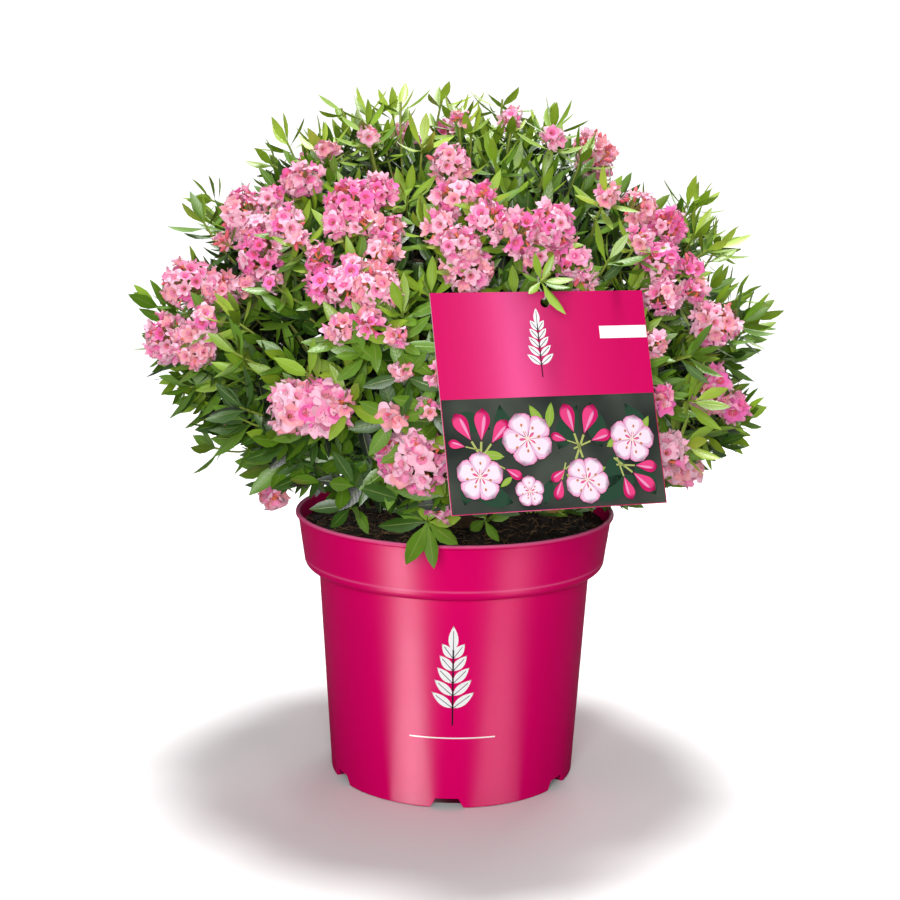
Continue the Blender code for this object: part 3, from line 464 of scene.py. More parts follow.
def colour_property(label, text, colour):
    """A colour that the user may change."""
    return FloatVectorProperty(name=label, description=text, subtype="COLOR", size=3, min=0, max=1,
                               default=tint(*colour))


class PotSettings(bpy.types.PropertyGroup):
    """Sizes and colours of the pot and its soil."""

    steps: IntProperty(name="Smoothness", description="Faces round the pot", default=168, min=24)
    relief: FloatProperty(name="Soil relief", description="Height of the soil's lumps",
                          default=0.0026, min=0, unit="LENGTH")
    crumbs: IntProperty(name="Crumbs", description="Loose crumbs on the soil", default=1500, min=0)
    fibres: IntProperty(name="Fibres", description="Loose plant fibres on the soil", default=420,
                        min=0)
    colour: colour_property("Plastic", "The pot's moulded plastic", (228, 0, 104))
    print_colour: colour_property("Print", "The sprig printed on the pot", (255, 255, 255))
    vein_colour: colour_property("Print veins", "The dark lines of the printed sprig",
                                 (44, 24, 38))
    peat_colour: colour_property("Peat", "Damp potting soil", (44, 38, 28))


class CrownSettings(bpy.types.PropertyGroup):
    """Sizes and numbers of the twigs, leaves and flowers."""

    tips: IntProperty(name="Leafy twigs", description="Fine twigs over the whole crown",
                      default=900, min=COARSE_TWIGS)
    leaf_length: FloatProperty(name="Leaf length", description="Length of a full leaf",
                               default=0.0280, min=0.005, unit="LENGTH")
    leaf_width: FloatProperty(name="Leaf width", description="Width of a full leaf",
                              default=0.0088, min=0.002, unit="LENGTH")
    floret: FloatProperty(name="Floret radius", description="Half the width of one open flower",
                          default=0.0068, min=0.001, unit="LENGTH")
    bark_colour: colour_property("Bark", "Trunk, boughs and old twigs", (96, 74, 52))
    shoot_colour: colour_property("Shoots", "Young green twigs", (142, 158, 62))


class LabelSettings(bpy.types.PropertyGroup):
    """Colours of the label and its thread."""

    colour: colour_property("Card", "The label's upper panel", (194, 0, 86))
    glow_colour: colour_property("Glow", "The lighter band printed on it", (222, 78, 138))
    panel_colour: colour_property("Lower panel", "The label's dark lower panel", (38, 42, 40))
    thread_colour: colour_property("Thread", "The thread that it hangs by", (214, 206, 204))


class StageSettings(bpy.types.PropertyGroup):
    """Light and floor."""

    key: FloatProperty(name="Key light", description="Strength of the light overhead",
                       default=3.1, min=0)
    front: FloatProperty(name="Front light", default=19.0, min=0, unit="POWER",
                         description="Power of the large light behind the camera")
    back: FloatProperty(name="Back light", description="Power of the soft light behind the plant",
                        default=9.0, min=0, unit="POWER")
    glint: FloatProperty(name="Glint cards", description="Power of the cards that the pot mirrors",
                         default=0.078, min=0, unit="POWER")
    floor_colour: colour_property("Floor", "The pale floor", (245, 245, 245))


# Shader maths

def both_ways(operation):
    """An operator's method and its reflected form, each of which adds a Math node."""
    def plain(self, other):
        return self.maths(operation, self, other)

    def reflected(self, other):
        return self.maths(operation, other, self)
    return plain, reflected


class Wire:
    """A node's output that takes part in sums: each operator adds its Math node."""

    def __init__(self, tree, socket):
        self.tree = tree
        self.socket = socket

    def maths(self, operation, *values):
        """One Math node of values and wires."""
        node = self.tree.nodes.new("ShaderNodeMath")
        node.operation = operation
        for socket, value in zip(node.inputs, values):
            feed(self.tree, socket, value)
        return Wire(self.tree, node.outputs[0])

    __add__, __radd__ = both_ways("ADD")
    __sub__, __rsub__ = both_ways("SUBTRACT")
    __mul__, __rmul__ = both_ways("MULTIPLY")
    __truediv__, __rtruediv__ = both_ways("DIVIDE")
    __pow__, __rpow__ = both_ways("POWER")

    def __abs__(self):
        return self.maths("ABSOLUTE", self)


def feed(tree, socket, value):
    """Link a wire to a socket, or set the socket's own value."""
    if isinstance(value, Wire):
        tree.links.new(value.socket, socket)
    elif socket.type == "RGBA" and len(value) == 3:
        socket.default_value = (*value, 1.0)
    else:
        socket.default_value = value


class Finish:
    """A procedural material: its shader, and the nodes that feed it."""

    def __init__(self, name, **values):
        self.material = bpy.data.materials.new(name.replace("_", " "))
        self.material.use_nodes = True
        self.tree = self.material.node_tree
        self.shader = self.tree.nodes["Principled BSDF"]
        for socket, value in values.items():
            self.set(socket.replace("_", " ").title().replace("Ior", "IOR"), value)

    def set(self, socket, value):
        """Give one of the shader's sockets a value or a wire."""
        feed(self.tree, self.shader.inputs[socket], value)

    def node(self, kind, settings=None, inputs=None, output=0):
        """Any node: its settings first, then its sockets; returns one output as a wire."""
        node = self.tree.nodes.new(kind)
        for key, value in (settings or {}).items():
            if key == "stops":
                ramp = node.color_ramp.elements
                while len(ramp) < len(value):
                    ramp.new(1.0)
                for stop, (place, level) in zip(ramp, value):
                    stop.position = place
                    stop.color = (level, level, level, 1.0)
            else:
                setattr(node, key, value)
        for key, value in (inputs or {}).items():
            feed(self.tree, node.inputs[key], value)
        return Wire(self.tree, node.outputs[output])

    def place(self):
        """Where on the object a point lies, in metres."""
        return self.node("ShaderNodeTexCoord", output=3)

    def speckle(self, scale, detail=2.0, roughness=0.5, vector=None):
        """Smooth noise from 0 to 1."""
        return self.node("ShaderNodeTexNoise", inputs={
            "Vector": vector or self.place(), "Scale": scale, "Detail": detail,
            "Roughness": roughness})

    def ramp(self, value, stops):
        """A value through a curve of straight steps."""
        return self.node("ShaderNodeValToRGB", {"stops": stops}, {"Fac": value})

    def blend(self, share, first, second):
        """A colour between two, by a share."""
        return self.node("ShaderNodeMix", {"data_type": "RGBA"},
                         {0: share, 6: first, 7: second}, 2)

    def relief(self, height, strength, distance):
        """Raise the surface by a height."""
        self.set("Normal", self.node("ShaderNodeBump", inputs={
            "Height": height, "Strength": strength, "Distance": distance}))

    def parts(self, vector):
        """The three numbers of a vector, each as a wire."""
        node = self.tree.nodes.new("ShaderNodeSeparateXYZ")
        feed(self.tree, node.inputs[0], vector)
        return [Wire(self.tree, socket) for socket in node.outputs]


def shade(colour, factor):
    """A lighter or darker version of a colour."""
    return tuple(min(1.0, value * factor) for value in colour)


# Finishes

def mottled(name, colour, grain, shades, rough=None, fine=None, **values):
    """A skin in clouds between two shades of a colour, with a fine grain where it is given."""
    finish = Finish(name, **values)
    clouds = finish.speckle(*grain)
    finish.set("Base Color", finish.blend(clouds, *(shade(colour, factor) for factor in shades)))
    if rough:
        finish.set("Roughness", rough[0] + rough[1] * clouds)
    if fine:
        finish.relief(finish.speckle(900.0), fine, 0.0004)
    return finish.material


def moulded_plastic(name, colour):
    """Satin moulded plastic: fine grain, handling marks, painted edge highlights, painted shade in
    the notches.
    """
    finish = Finish(name, specular_ior_level=0.03)
    x, y, height = finish.parts(finish.place())
    # Painted shade: near black inside the foot's radius and below the notches' top, in the notches
    # and under the foot
    inward = finish.ramp((x * x + y * y) ** 0.5 * (1 / BASE_RADIUS), ((0.945, 1.0), (0.985, 0.0)))
    low = finish.ramp(height * (0.5 / NOTCH_HEIGHT), ((0.50, 1.0), (0.56, 0.0)))
    # Painted highlight: thin lighter pink lines along the lip and the collar's lower edge
    lip = finish.ramp(height * (1 / POT_HEIGHT), ((0.9900, 0.0), (0.9965, 1.0)))
    ledge = 1.0 - abs(height - (COLLAR_FOOT + LEDGE_RISE)) * (1 / LEDGE_WIDTH)
    painted_highlight = lip * 0.55 + ledge.maths("MAXIMUM", ledge, 0.0) * 0.30
    skin = finish.blend(finish.speckle(9.0, 3.0), shade(colour, 0.94), shade(colour, 1.05))
    edged = finish.blend(painted_highlight, skin, tint(255, 150, 196))
    finish.set("Base Color", finish.blend(inward * low, edged, shade(colour, 0.07)))
    finish.set("Roughness", 0.42 + 0.08 * finish.speckle(60.0, 4.0))
    finish.relief(finish.speckle(1400.0), 0.10, 0.0003)
    return finish.material


def damp_peat(name, colour):
    """Dark peat: black lumps, brown fibres, a few damp glints."""
    finish = Finish(name)
    lumps = finish.speckle(260.0, 6.0, 0.7)
    fibre = finish.ramp(finish.speckle(90.0, 5.0, 0.75), ((0.54, 0.0), (0.64, 1.0)))
    ground = finish.blend(lumps, shade(colour, 0.30), shade(colour, 1.7))
    finish.set("Base Color", finish.blend(fibre * 0.7, ground, tint(132, 98, 66)))
    finish.set("Roughness", 0.95 - 0.25 * lumps)
    finish.relief(lumps, 0.6, 0.0015)
    return finish.material


def rough_bark(name, colour):
    """Grey-brown bark with fissures along the limb."""
    finish = Finish(name)
    stretched = finish.node("ShaderNodeMapping", inputs={"Vector": finish.place(),
                                                         "Scale": (1.0, 1.0, 0.22)})
    ridges = finish.speckle(520.0, 5.0, 0.65, stretched)
    moss = finish.ramp(finish.speckle(70.0, 3.0), ((0.55, 0.0), (0.75, 1.0)))
    bark = finish.blend(ridges, shade(colour, 0.35), shade(colour, 1.5))
    finish.set("Base Color", finish.blend(moss * 0.35, bark, tint(104, 112, 70)))
    finish.set("Roughness", 0.80 + 0.15 * ridges)
    finish.relief(ridges, 0.7, 0.0012)
    return finish.material


def twig_skin(name, colour, roughness):
    """A twig's smooth skin with faint lengthwise tints."""
    return mottled(name, colour, (140.0, 3.0), (0.70, 1.25), (roughness, 0.15), 0.25)


def leaf_skin(name, colour):
    """A leathery leaf: pale midrib, side veins, and a gloss that varies from leaf to leaf."""
    finish = Finish(name, specular_ior_level=0.85)
    across, along, _ = finish.parts(finish.node("ShaderNodeUVMap", {"uv_map": "blade"}))
    off_rib = abs(across - 0.5) * 2.0
    rib = finish.ramp(off_rib, ((0.02, 1.0), (0.10, 0.0)))
    wave = along * 60.0 - off_rib * 9.0
    patches = finish.speckle(55.0, 3.0, 0.6)
    blade = finish.blend(patches, shade(colour, 0.66), shade(colour, 1.30))
    finish.set("Base Color", finish.blend(rib * 0.34, blade, shade(tint(190, 206, 120), 0.9)))
    finish.set("Roughness", 0.29 + 0.20 * patches)
    finish.relief(wave.maths("SINE", wave) * 0.10 - rib, 0.35, 0.0005)
    return finish.material


def petal_skin(name, colour):
    """A thin crisp petal: soft sheen, paler and deeper clouds, and a painted glow in its own
    colour.
    """
    return mottled(name, colour, (190.0, 3.0, 0.6), (0.86, 1.12), None, 0.20, roughness=0.50,
                   specular_ior_level=0.30, sheen_weight=0.12, emission_strength=PETAL_GLOW,
                   emission_color=colour)


def soft_parts_skin(name, colour, roughness=0.6):
    """Stamens, stalks and buds."""
    return mottled(name, colour, (320.0,), (0.78, 1.18), (roughness, 0.1))


def printed_card(name, colour, glow=None, middle=0.0, spread=0.02, cloud=None):
    """Coated card, with a lighter band or blurred clouds printed on it where they are given."""
    finish = Finish(name, specular_ior_level=0.06)
    fibres = finish.speckle(700.0, 3.0)
    base = finish.blend(fibres, shade(colour, 0.97), shade(colour, 1.03))
    if glow is not None:
        across = finish.node("ShaderNodeVectorMath", {"operation": "DOT_PRODUCT"}, {
            0: finish.place(), 1: tuple(Label().across)}, 1)
        offset = (across - (LABEL_CENTRE.dot(Label().across) + middle)) / spread
        band = 1.0 / (1.0 + offset * offset)
        base = finish.blend(band, base, glow)
    if cloud is not None:
        blur = finish.ramp(finish.speckle(34.0, roughness=0.4), ((0.34, 0.0), (0.70, 1.0)))
        base = finish.blend(blur, base, cloud)
    finish.set("Base Color", base)
    finish.set("Roughness", 0.34 + 0.08 * fibres)
    finish.relief(fibres, 0.05, 0.0002)
    return finish.material


# Places and directions

def between(low, high, value):
    """A value held between two others."""
    return min(high, max(low, value))


def jolt(rng, size):
    """A small random move in any direction."""
    return Vector([rng.uniform(-size, size) for _ in range(3)])


def round_about(first, second, angle):
    """The direction at an angle in the plane of two others."""
    return first * cos(angle) + second * sin(angle)


def circle(radius, height, steps):
    """Points of a level circle round the axis."""
    return [(radius * cos(tau * step / steps), radius * sin(tau * step / steps), height)
            for step in range(steps)]


def on_disc(rng, radius):
    """An even random place on a disc."""
    reach = radius * sqrt(rng.random())
    angle = rng.uniform(0, tau)
    return reach * cos(angle), reach * sin(angle)


def heading(turn, lift):
    """Direction at a turn to the right of the front (-Y) and a lift above level, in degrees."""
    turn, lift = radians(turn), radians(lift)
    return Vector((sin(turn) * cos(lift), -cos(turn) * cos(lift), sin(lift)))


def side_axes(axis):
    """Two unit vectors square to an axis and to each other."""
    helper = UP if abs(axis.z) < 0.9 else Vector((1, 0, 0))
    across = axis.cross(helper).normalized()
    return across, across.cross(axis).normalized()


def bezier(start, first, second, end, share):
    """A point on a smooth curve."""
    back = 1 - share
    place = start * back ** 3 + first * (3 * back * back * share)
    return place + second * (3 * back * share * share) + end * share ** 3


def even_headings(count, lowest=LOWEST_LIFT):
    """Directions spread evenly over a globe, from the lowest lift to straight up."""
    floor = sin(radians(lowest))
    golden = pi * (3 - sqrt(5))
    headings = []
    for number in range(count):
        rise = 1 - (number + 0.5) / count * (1 - floor)
        flat = sqrt(max(0.0, 1 - rise * rise))
        headings.append(Vector((cos(golden * number) * flat, sin(golden * number) * flat, rise)))
    return headings


def frame_matrix(origin, across, up, out, size):
    """Matrix from a small shape's own axes, of unit size, to the plant's."""
    matrix = Matrix((across * size, up * size, out * size)).transposed().to_4x4()
    matrix.translation = origin
    return matrix


# Meshes

def grid_faces(rows, columns, closed=False):
    """Triangles of a grid of points, row after row; closed joins the last column to the first."""
    faces = []
    for row in range(rows - 1):
        for column in range(columns if closed else columns - 1):
            first = row * columns + column
            second = row * columns + (column + 1) % columns
            faces.append((first, second, second + columns))
            faces.append((first, second + columns, first + columns))
    return np.array(faces)


def mesh_from_arrays(name, points, faces, smooth=True):
    """A mesh from an array of points and an array of triangles or quads."""
    mesh = bpy.data.meshes.new(name)
    mesh.vertices.add(len(points))
    mesh.vertices.foreach_set("co", np.asarray(points, dtype=np.float32).ravel())
    mesh.loops.add(faces.size)
    mesh.loops.foreach_set("vertex_index", np.asarray(faces, dtype=np.int32).ravel())
    mesh.polygons.add(len(faces))
    starts = np.arange(0, faces.size, faces.shape[1], dtype=np.int32)
    mesh.polygons.foreach_set("loop_start", starts)
    mesh.update(calc_edges=True)
    if smooth:
        mesh.shade_smooth()
    return mesh


def basic_mesh(name, make, **settings):
    """A mesh straight from one of bmesh's shapes."""
    bm = bmesh.new()
    make(bm, **settings)
    mesh = bpy.data.meshes.new(name)
    bm.to_mesh(mesh)
    bm.free()
    return mesh


class Gathering:
    """Many small shapes that end up as one mesh."""

    def __init__(self):
        self.points = []
        self.faces = []
        self.count = 0

    def add(self, points, faces):
        """One shape, from its points and faces."""
        self.points.append(np.asarray(points, dtype=float).reshape(-1, 3))
        self.faces.append(np.asarray(faces) + self.count)
        self.count += len(self.points[-1])

    def add_copies(self, template, faces, frames):
        """Copies of a template, each set by a 4 by 4 matrix."""
        frames = np.asarray(frames, dtype=float)
        points = np.einsum("nij,kj->nki", frames[:, :3, :3], template) + frames[:, None, :3, 3]
        steps = np.arange(len(frames))[:, None, None] * len(template)
        self.add(points, (np.asarray(faces)[None] + steps).reshape(-1, 3))

    def joined(self):
        """All the points and all the faces."""
        return np.concatenate(self.points), np.concatenate(self.faces)

    def mesh(self, name, smooth=True):
        """The mesh of them all."""
        return mesh_from_arrays(name, *self.joined(), smooth)


def add_tube(gathering, points, radii, sides):
    """A tube through points, with a radius at each, open at its ends."""
    rings = []
    side = None
    for number, point in enumerate(points):
        before = points[max(0, number - 1)]
        after = points[min(len(points) - 1, number + 1)]
        axis = (after - before).normalized()
        if side is None:
            side = side_axes(axis)[0]
        side = (side - axis * side.dot(axis)).normalized()
        other = axis.cross(side)
        for corner in range(sides):
            rings.append(point + round_about(side, other, tau * corner / sides) * radii[number])
    gathering.add(rings, grid_faces(len(points), sides, True))


def turned_mesh(name, profile, steps):
    """A round mesh from a profile that starts and ends on the axis."""
    rim = profile[1:-1]
    points = [(0.0, 0.0, profile[0][1])]
    for radius, height in rim:
        points += circle(radius, height, steps)
    points.append((0.0, 0.0, profile[-1][1]))
    last = len(points) - 1
    faces = []
    for row in range(len(rim) - 1):
        for step in range(steps):
            first = 1 + row * steps + step
            second = 1 + row * steps + (step + 1) % steps
            faces.append((first, first + steps, second + steps, second))
    for step in range(steps):
        other = (step + 1) % steps
        faces += [(0, 1 + step, 1 + other), (last, last - steps + other, last - steps + step)]
    mesh = bpy.data.meshes.new(name)
    mesh.from_pydata(points, [], faces)
    return mesh


def add_object(name, data):
    """Put an object into the scene."""
    thing = bpy.data.objects.new(name, data)
    bpy.context.scene.collection.objects.link(thing)
    return thing


def add_piece(name, mesh, finish, nodes=(), sharp=None):
    """Put one piece on the plant: its finish and the plain solids that it stands for."""
    piece = add_object(name, mesh)
    mesh.materials.append(finish)
    if sharp is not None:
        mesh.shade_smooth()
        mesh.set_sharp_from_angle(angle=radians(sharp))
    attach(piece, BODY)
    if nodes:
        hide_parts(*nodes)
    return piece


def add_foliage(name, mesh, finish):
    """Put on one kind of the crown's small parts, which stand for all its masses."""
    add_piece(name, mesh, finish, [f"foliage_{mass.name}" for mass in make_masses()])


def cut_away(piece, cutters):
    """Take the cutters' shapes out of a piece and remove them."""
    for cutter in cutters:
        cut = piece.modifiers.new("cut", "BOOLEAN")
        cut.operation = "DIFFERENCE"
        cut.solver = "EXACT"
        cut.object = cutter
    depsgraph = bpy.context.evaluated_depsgraph_get()
    mesh = bpy.data.meshes.new_from_object(piece.evaluated_get(depsgraph))
    piece.modifiers.clear()
    piece.data = mesh
    for cutter in cutters:
        bpy.data.objects.remove(cutter, do_unlink=True)


def tidy(mesh):
    """Drop the points that no face uses."""
    bm = bmesh.new()
    bm.from_mesh(mesh)
    bmesh.ops.delete(bm, geom=[vert for vert in bm.verts if not vert.link_faces], context="VERTS")
    bm.to_mesh(mesh)
    bm.free()
    return mesh


# Flat prints

def flat_blade(x, y, direction, stations):
    """Points and triangles of a flat shape, from its half widths at places along it."""
    turn = radians(direction)
    points = [(x + cos(turn) * along - sin(turn) * half * side,
               y + sin(turn) * along + cos(turn) * half * side)
              for along, half in stations for side in (-1, 0, 1)]
    return points, grid_faces(len(stations), 3)


def flat_leaf(x, y, direction, length, width, steps=7):
    """A flat leaf, pointed at both ends."""
    return flat_blade(x, y, direction, [
        (length * step / steps, width / 2 * sin(pi * (step / steps) ** 0.85))
        for step in range(steps + 1)])


def rounded_petal(x, y, direction, length, width, steps=7):
    """A flat petal, narrow at its foot and round at its end."""
    return flat_blade(x, y, direction, [
        (length * step / steps, width / 2 * max(0.0, sin(pi * (step / steps) ** 1.7)) ** 0.75)
        for step in range(steps + 1)])


def flat_strip(start, end, width, steps=8):
    """A straight printed line between two places."""
    along, up = end[0] - start[0], end[1] - start[1]
    return flat_blade(*start, degrees(atan2(up, along)), [
        (hypot(along, up) * step / steps, width / 2) for step in range(steps + 1)])


def sprig_shapes(height):
    """A plain sprig as flat leaves: (foot x, foot y, direction in degrees, length, width)."""
    shapes = [(0.0, 0.80 * height, 90.0, 0.30 * height, 0.11 * height)]
    for pair in range(5):
        rise = (0.14 + 0.145 * pair) * height
        reach = (0.30 - 0.022 * pair) * height
        for side in (-1, 1):
            shapes.append((0.0, rise, 90.0 + side * (52 - 4 * pair), reach, 0.105 * height))
    return shapes


def sprig_veins(shapes, width):
    """A fine line along the middle of each leaf of a sprig."""
    veins = []
    for x, y, direction, length, _ in shapes:
        turn = radians(direction)
        ends = [(x + cos(turn) * length * share, y + sin(turn) * length * share)
                for share in VEIN_SPAN]
        veins.append(flat_strip(*ends, width))
    return veins


def rectangle(left, right, foot, top):
    """A flat rectangle in the card's plane."""
    points = [(x, y) for y in (foot, top) for x in (left, right)]
    return points, np.array([(0, 1, 3), (0, 3, 2)])


# Pot and soil

def arc(centre, radius, start, end, steps):
    """Points of an arc in the turned profile's plane, angles in degrees from outward."""
    angles = [radians(start + (end - start) * step / steps) for step in range(steps + 1)]
    return [(centre[0] + radius * cos(angle), centre[1] + radius * sin(angle)) for angle in angles]


def wall_profile(offset, steps=2):
    """The pot's outer side below the lip, top to bottom, moved in by an offset."""
    rounding = COLLAR_ROUNDING - 0.5 * offset
    corner = (COLLAR_FOOT_RADIUS - rounding - offset, COLLAR_FOOT)
    points = [(COLLAR_TOP_RADIUS - offset, POT_HEIGHT - 2 * LIP_ROLL)]
    points += arc(corner, rounding, 0, -62, steps)
    points.append((SHOULDER_RADIUS - offset, SHOULDER))
    return points


def body_radius(height):
    """The pot's outer radius below its shoulder."""
    return BASE_RADIUS + (SHOULDER_RADIUS - BASE_RADIUS) * height / SHOULDER


def notch_cutter(number):
    """A wedge, wide at the foot and narrow at its top, pointing in from outside."""
    foot = -NOTCH_OVERCUT_DOWN
    spread = (NOTCH_FOOT_WIDTH - NOTCH_TOP_WIDTH) / NOTCH_HEIGHT * foot
    half, top = (NOTCH_FOOT_WIDTH - spread) / 2, NOTCH_TOP_WIDTH / 2
    outline = ((-half, foot), (half, foot), (top, NOTCH_HEIGHT), (-top, NOTCH_HEIGHT))
    turn = Matrix.Rotation(radians(NOTCH_TURN + 360.0 * number / NOTCHES), 3, "Z")
    points = [turn @ Vector((x, -depth, z))
              for depth in (BASE_RADIUS + NOTCH_OVERCUT_OUT, BASE_RADIUS - NOTCH_REACH_IN)
              for x, z in outline]
    faces = [(0, 1, 2, 3), (7, 6, 5, 4), (0, 4, 5, 1), (1, 5, 6, 2), (2, 6, 7, 3), (3, 7, 4, 0)]
    mesh = bpy.data.meshes.new("notch cutter")
    mesh.from_pydata(points, [], faces)
    return add_object("notch_cutter", mesh)


def make_pot(settings):
    """The pot: rolled lip, deep collar, tapering body, a flat foot with drain notches."""
    lip_centre = (RIM_RADIUS - LIP_ROLL, POT_HEIGHT - LIP_ROLL)
    foot_centre = (BASE_RADIUS - FOOT_ROUNDING, FOOT_ROUNDING)
    profile = [(0.0, POT_FLOOR), (BASE_RADIUS - POT_WALL, POT_FLOOR),
               *reversed(wall_profile(POT_WALL, 8)), *arc(lip_centre, LIP_ROLL, 180, -70, 10),
               *wall_profile(0.0, 10), *arc(foot_centre, FOOT_ROUNDING, 0, -90, 4), (0.0, 0.0)]
    pot = add_piece("pot_shell", turned_mesh("pot", profile, settings.steps),
                    moulded_plastic("moulded plastic", settings.colour), ["pot"])
    cut_away(pot, [notch_cutter(number) for number in range(NOTCHES)])
    pot.data.shade_smooth()
    pot.data.set_sharp_from_angle(angle=radians(POT_SHARP_FROM))


def make_pot_print(settings):
    """A plain white sprig printed on the pot's front, and a fine line below it."""
    leaves = sprig_shapes(PRINT_HEIGHT)
    white = [flat_leaf(*leaf) for leaf in leaves]
    line = [(side * PRINT_LINE_HALF, -PRINT_LINE_DROP) for side in (-1, 1)]
    white.append(flat_strip(*line, PRINT_LINE_WIDTH, 24))
    dark = sprig_veins(leaves, VEIN_WIDTH)
    dark.append(flat_strip(*PRINT_STEM, PRINT_STEM_WIDTH))
    for name, shapes, proud, colour in (
        ("pot_print", white, PRINT_PROUD, settings.print_colour),
        ("pot_print_veins", dark, 2 * PRINT_PROUD, settings.vein_colour),
    ):
        layer = Gathering()
        for points, faces in shapes:
            wrapped = []
            for x, y in points:
                radius = body_radius(PRINT_FOOT + y) + proud
                angle = x / radius
                wrapped.append((radius * sin(angle), -radius * cos(angle), PRINT_FOOT + y))
            layer.add(wrapped, faces)
        add_piece(name, layer.mesh(name), printed_card(name, colour))


def soil_height(x, y, relief):
    """The soil's crumbly surface: lumps and grains."""
    place = Vector((x, y, 0.0))
    lumps = noise.fractal(place * 95.0, 1.0, 2.0, 4) * relief
    grains = noise.noise(place * 640.0) * relief * 0.30
    return SOIL_LEVEL + lumps + grains - relief * 0.2


def soil_profile():
    """The soil block's outline, from its top's middle to its foot's middle."""
    offset = POT_WALL + GAP
    floor = POT_FLOOR + GAP
    wall = wall_profile(offset)
    share = (SOIL_LEVEL - wall[1][1]) / (wall[0][1] - wall[1][1])
    edge = wall[1][0] + (wall[0][0] - wall[1][0]) * share
    foot = body_radius(floor + SOIL_FOOT_CHAMFER) - offset
    top = [(edge * sqrt(row / (SOIL_ROWS - 1)), SOIL_LEVEL) for row in range(SOIL_ROWS)]
    return [*top, *wall[1:], (foot, floor + SOIL_FOOT_CHAMFER), (foot - SOIL_FOOT_CHAMFER, floor),
            (0.0, floor)]


def crumb_shape(rng):
    """Points and triangles of one uneven crumb."""
    bm = bmesh.new()
    bmesh.ops.create_icosphere(bm, subdivisions=1, radius=1.0)
    for vert in bm.verts:
        vert.co *= rng.uniform(0.75, 1.2)
    points = np.array([vert.co[:] for vert in bm.verts])
    faces = np.array([[vert.index for vert in face.verts] for face in bm.faces])
    bm.free()
    return points, faces


def crumb_frame(rng, reach, relief):
    """Matrix of one crumb somewhere on the soil."""
    radius = rng.uniform(*(SMALL_CRUMBS if rng.random() < SMALL_CRUMB_SHARE else LARGE_CRUMBS))
    x, y = on_disc(rng, reach - 0.003)
    turn = Matrix.Rotation(rng.uniform(0, tau), 4, Vector((rng.random(), rng.random(), 1)))
    size = Matrix.Diagonal((radius, radius * rng.uniform(0.6, 1.0), radius * 0.7, 1.0))
    return Matrix.Translation((x, y, soil_height(x, y, relief) + radius * 0.25)) @ turn @ size


def fibre_route(rng, reach, relief):
    """A short bent line over the soil, or nothing where it would leave the pot."""
    x, y = on_disc(rng, reach - 0.008)
    turn = rng.uniform(0, tau)
    length = rng.uniform(0.003, 0.011)
    bend = rng.uniform(-0.6, 0.6)
    points = []
    for step in range(4):
        turn += bend / 3
        x, y = x + cos(turn) * length / 3, y + sin(turn) * length / 3
        if hypot(x, y) > reach - 0.001:
            return []
        lift = 0.0006 + 0.0008 * sin(pi * step / 3)
        points.append(Vector((x, y, soil_height(x, y, relief) + lift)))
    return points


def make_soil(settings):
    """Potting soil: a crumbly top, crumbs and fibres, on a plain block that fills the pot."""
    profile = soil_profile()
    edge = profile[SOIL_ROWS - 1][0]
    mesh = turned_mesh("soil", profile, SOIL_STEPS)
    for vert in mesh.vertices:
        if vert.co.z > SOIL_LEVEL - GAP:
            vert.co.z = soil_height(vert.co.x, vert.co.y, settings.relief)
    peat = damp_peat("damp peat", settings.peat_colour)
    add_piece("soil_block", mesh, peat, ["soil"], SOIL_SHARP_FROM)

    rng = random.Random(SEED)
    crumb = crumb_shape(rng)
    crumbs, fibres = Gathering(), Gathering()
    frames = [crumb_frame(rng, edge, settings.relief) for _ in range(settings.crumbs)]
    crumbs.add_copies(*crumb, frames)
    add_piece("soil_crumbs", crumbs.mesh("crumbs"), peat)
    for _ in range(settings.fibres):
        route = fibre_route(rng, edge, settings.relief)
        if route:
            add_tube(fibres, route, FIBRE_RADII, 4)
    straw = soft_parts_skin("soil fibres", tint(158, 124, 86), 0.8)
    add_piece("soil_fibres", fibres.mesh("fibres"), straw)


# Trunk and boughs

def trunk_point(height):
    """The leaning trunk's axis at a height."""
    share = (TRUNK_FORK - height) / (TRUNK_FORK - TRUNK_FOOT)
    return Vector((TRUNK_LEAN[0] * share, TRUNK_LEAN[1] * share, height))


def trunk_rim(angle, height):
    """The trunk's outline at a height, with the roots' buttresses."""
    share = (height - TRUNK_FOOT) / (TRUNK_FORK - TRUNK_FOOT)
    flare = TRUNK_FLARE_RADIUS - TRUNK_RADIUS
    flare *= exp(-FLARE_FADE * (height - TRUNK_FOOT) / FLARE_HEIGHT)
    radius = TRUNK_RADIUS + (FORK_RADIUS - TRUNK_RADIUS) * share + flare
    swell = BUTTRESS_SWELL * exp(-BUTTRESS_FADE * (height - TRUNK_FOOT) / FLARE_HEIGHT)
    swell *= cos(BUTTRESSES * angle + BUTTRESS_TURN)
    return Vector((cos(angle), sin(angle), 0)) * (radius * (1 + swell))


def bark_relief(place, depth):
    """Ridges and cracks that run along a limb."""
    ridges = abs(noise.noise(Vector((place.x * 420, place.y * 420, place.z * 90))))
    return depth * (0.4 - 1.3 * ridges)


def bough_route(mass, steps):
    """The curve of a bough, from the trunk's side to its mass."""
    flat = Vector((mass.heading.x, mass.heading.y, 0)).normalized()
    leaving = (flat * BOUGH_OUTWARD + UP * BOUGH_UPWARD).normalized()
    turn = atan2(flat.y, flat.x)
    start = trunk_point(mass.height) + trunk_rim(turn, mass.height) - leaving * BOUGH_SUNK
    reach = (mass.bough_tip - start).length
    first = start + leaving * (reach * BOUGH_BEND)
    second = mass.bough_tip - mass.heading * (reach * BOUGH_BEND)
    return [bezier(start, first, second, mass.bough_tip, step / steps)
            for step in range(steps + 1)]


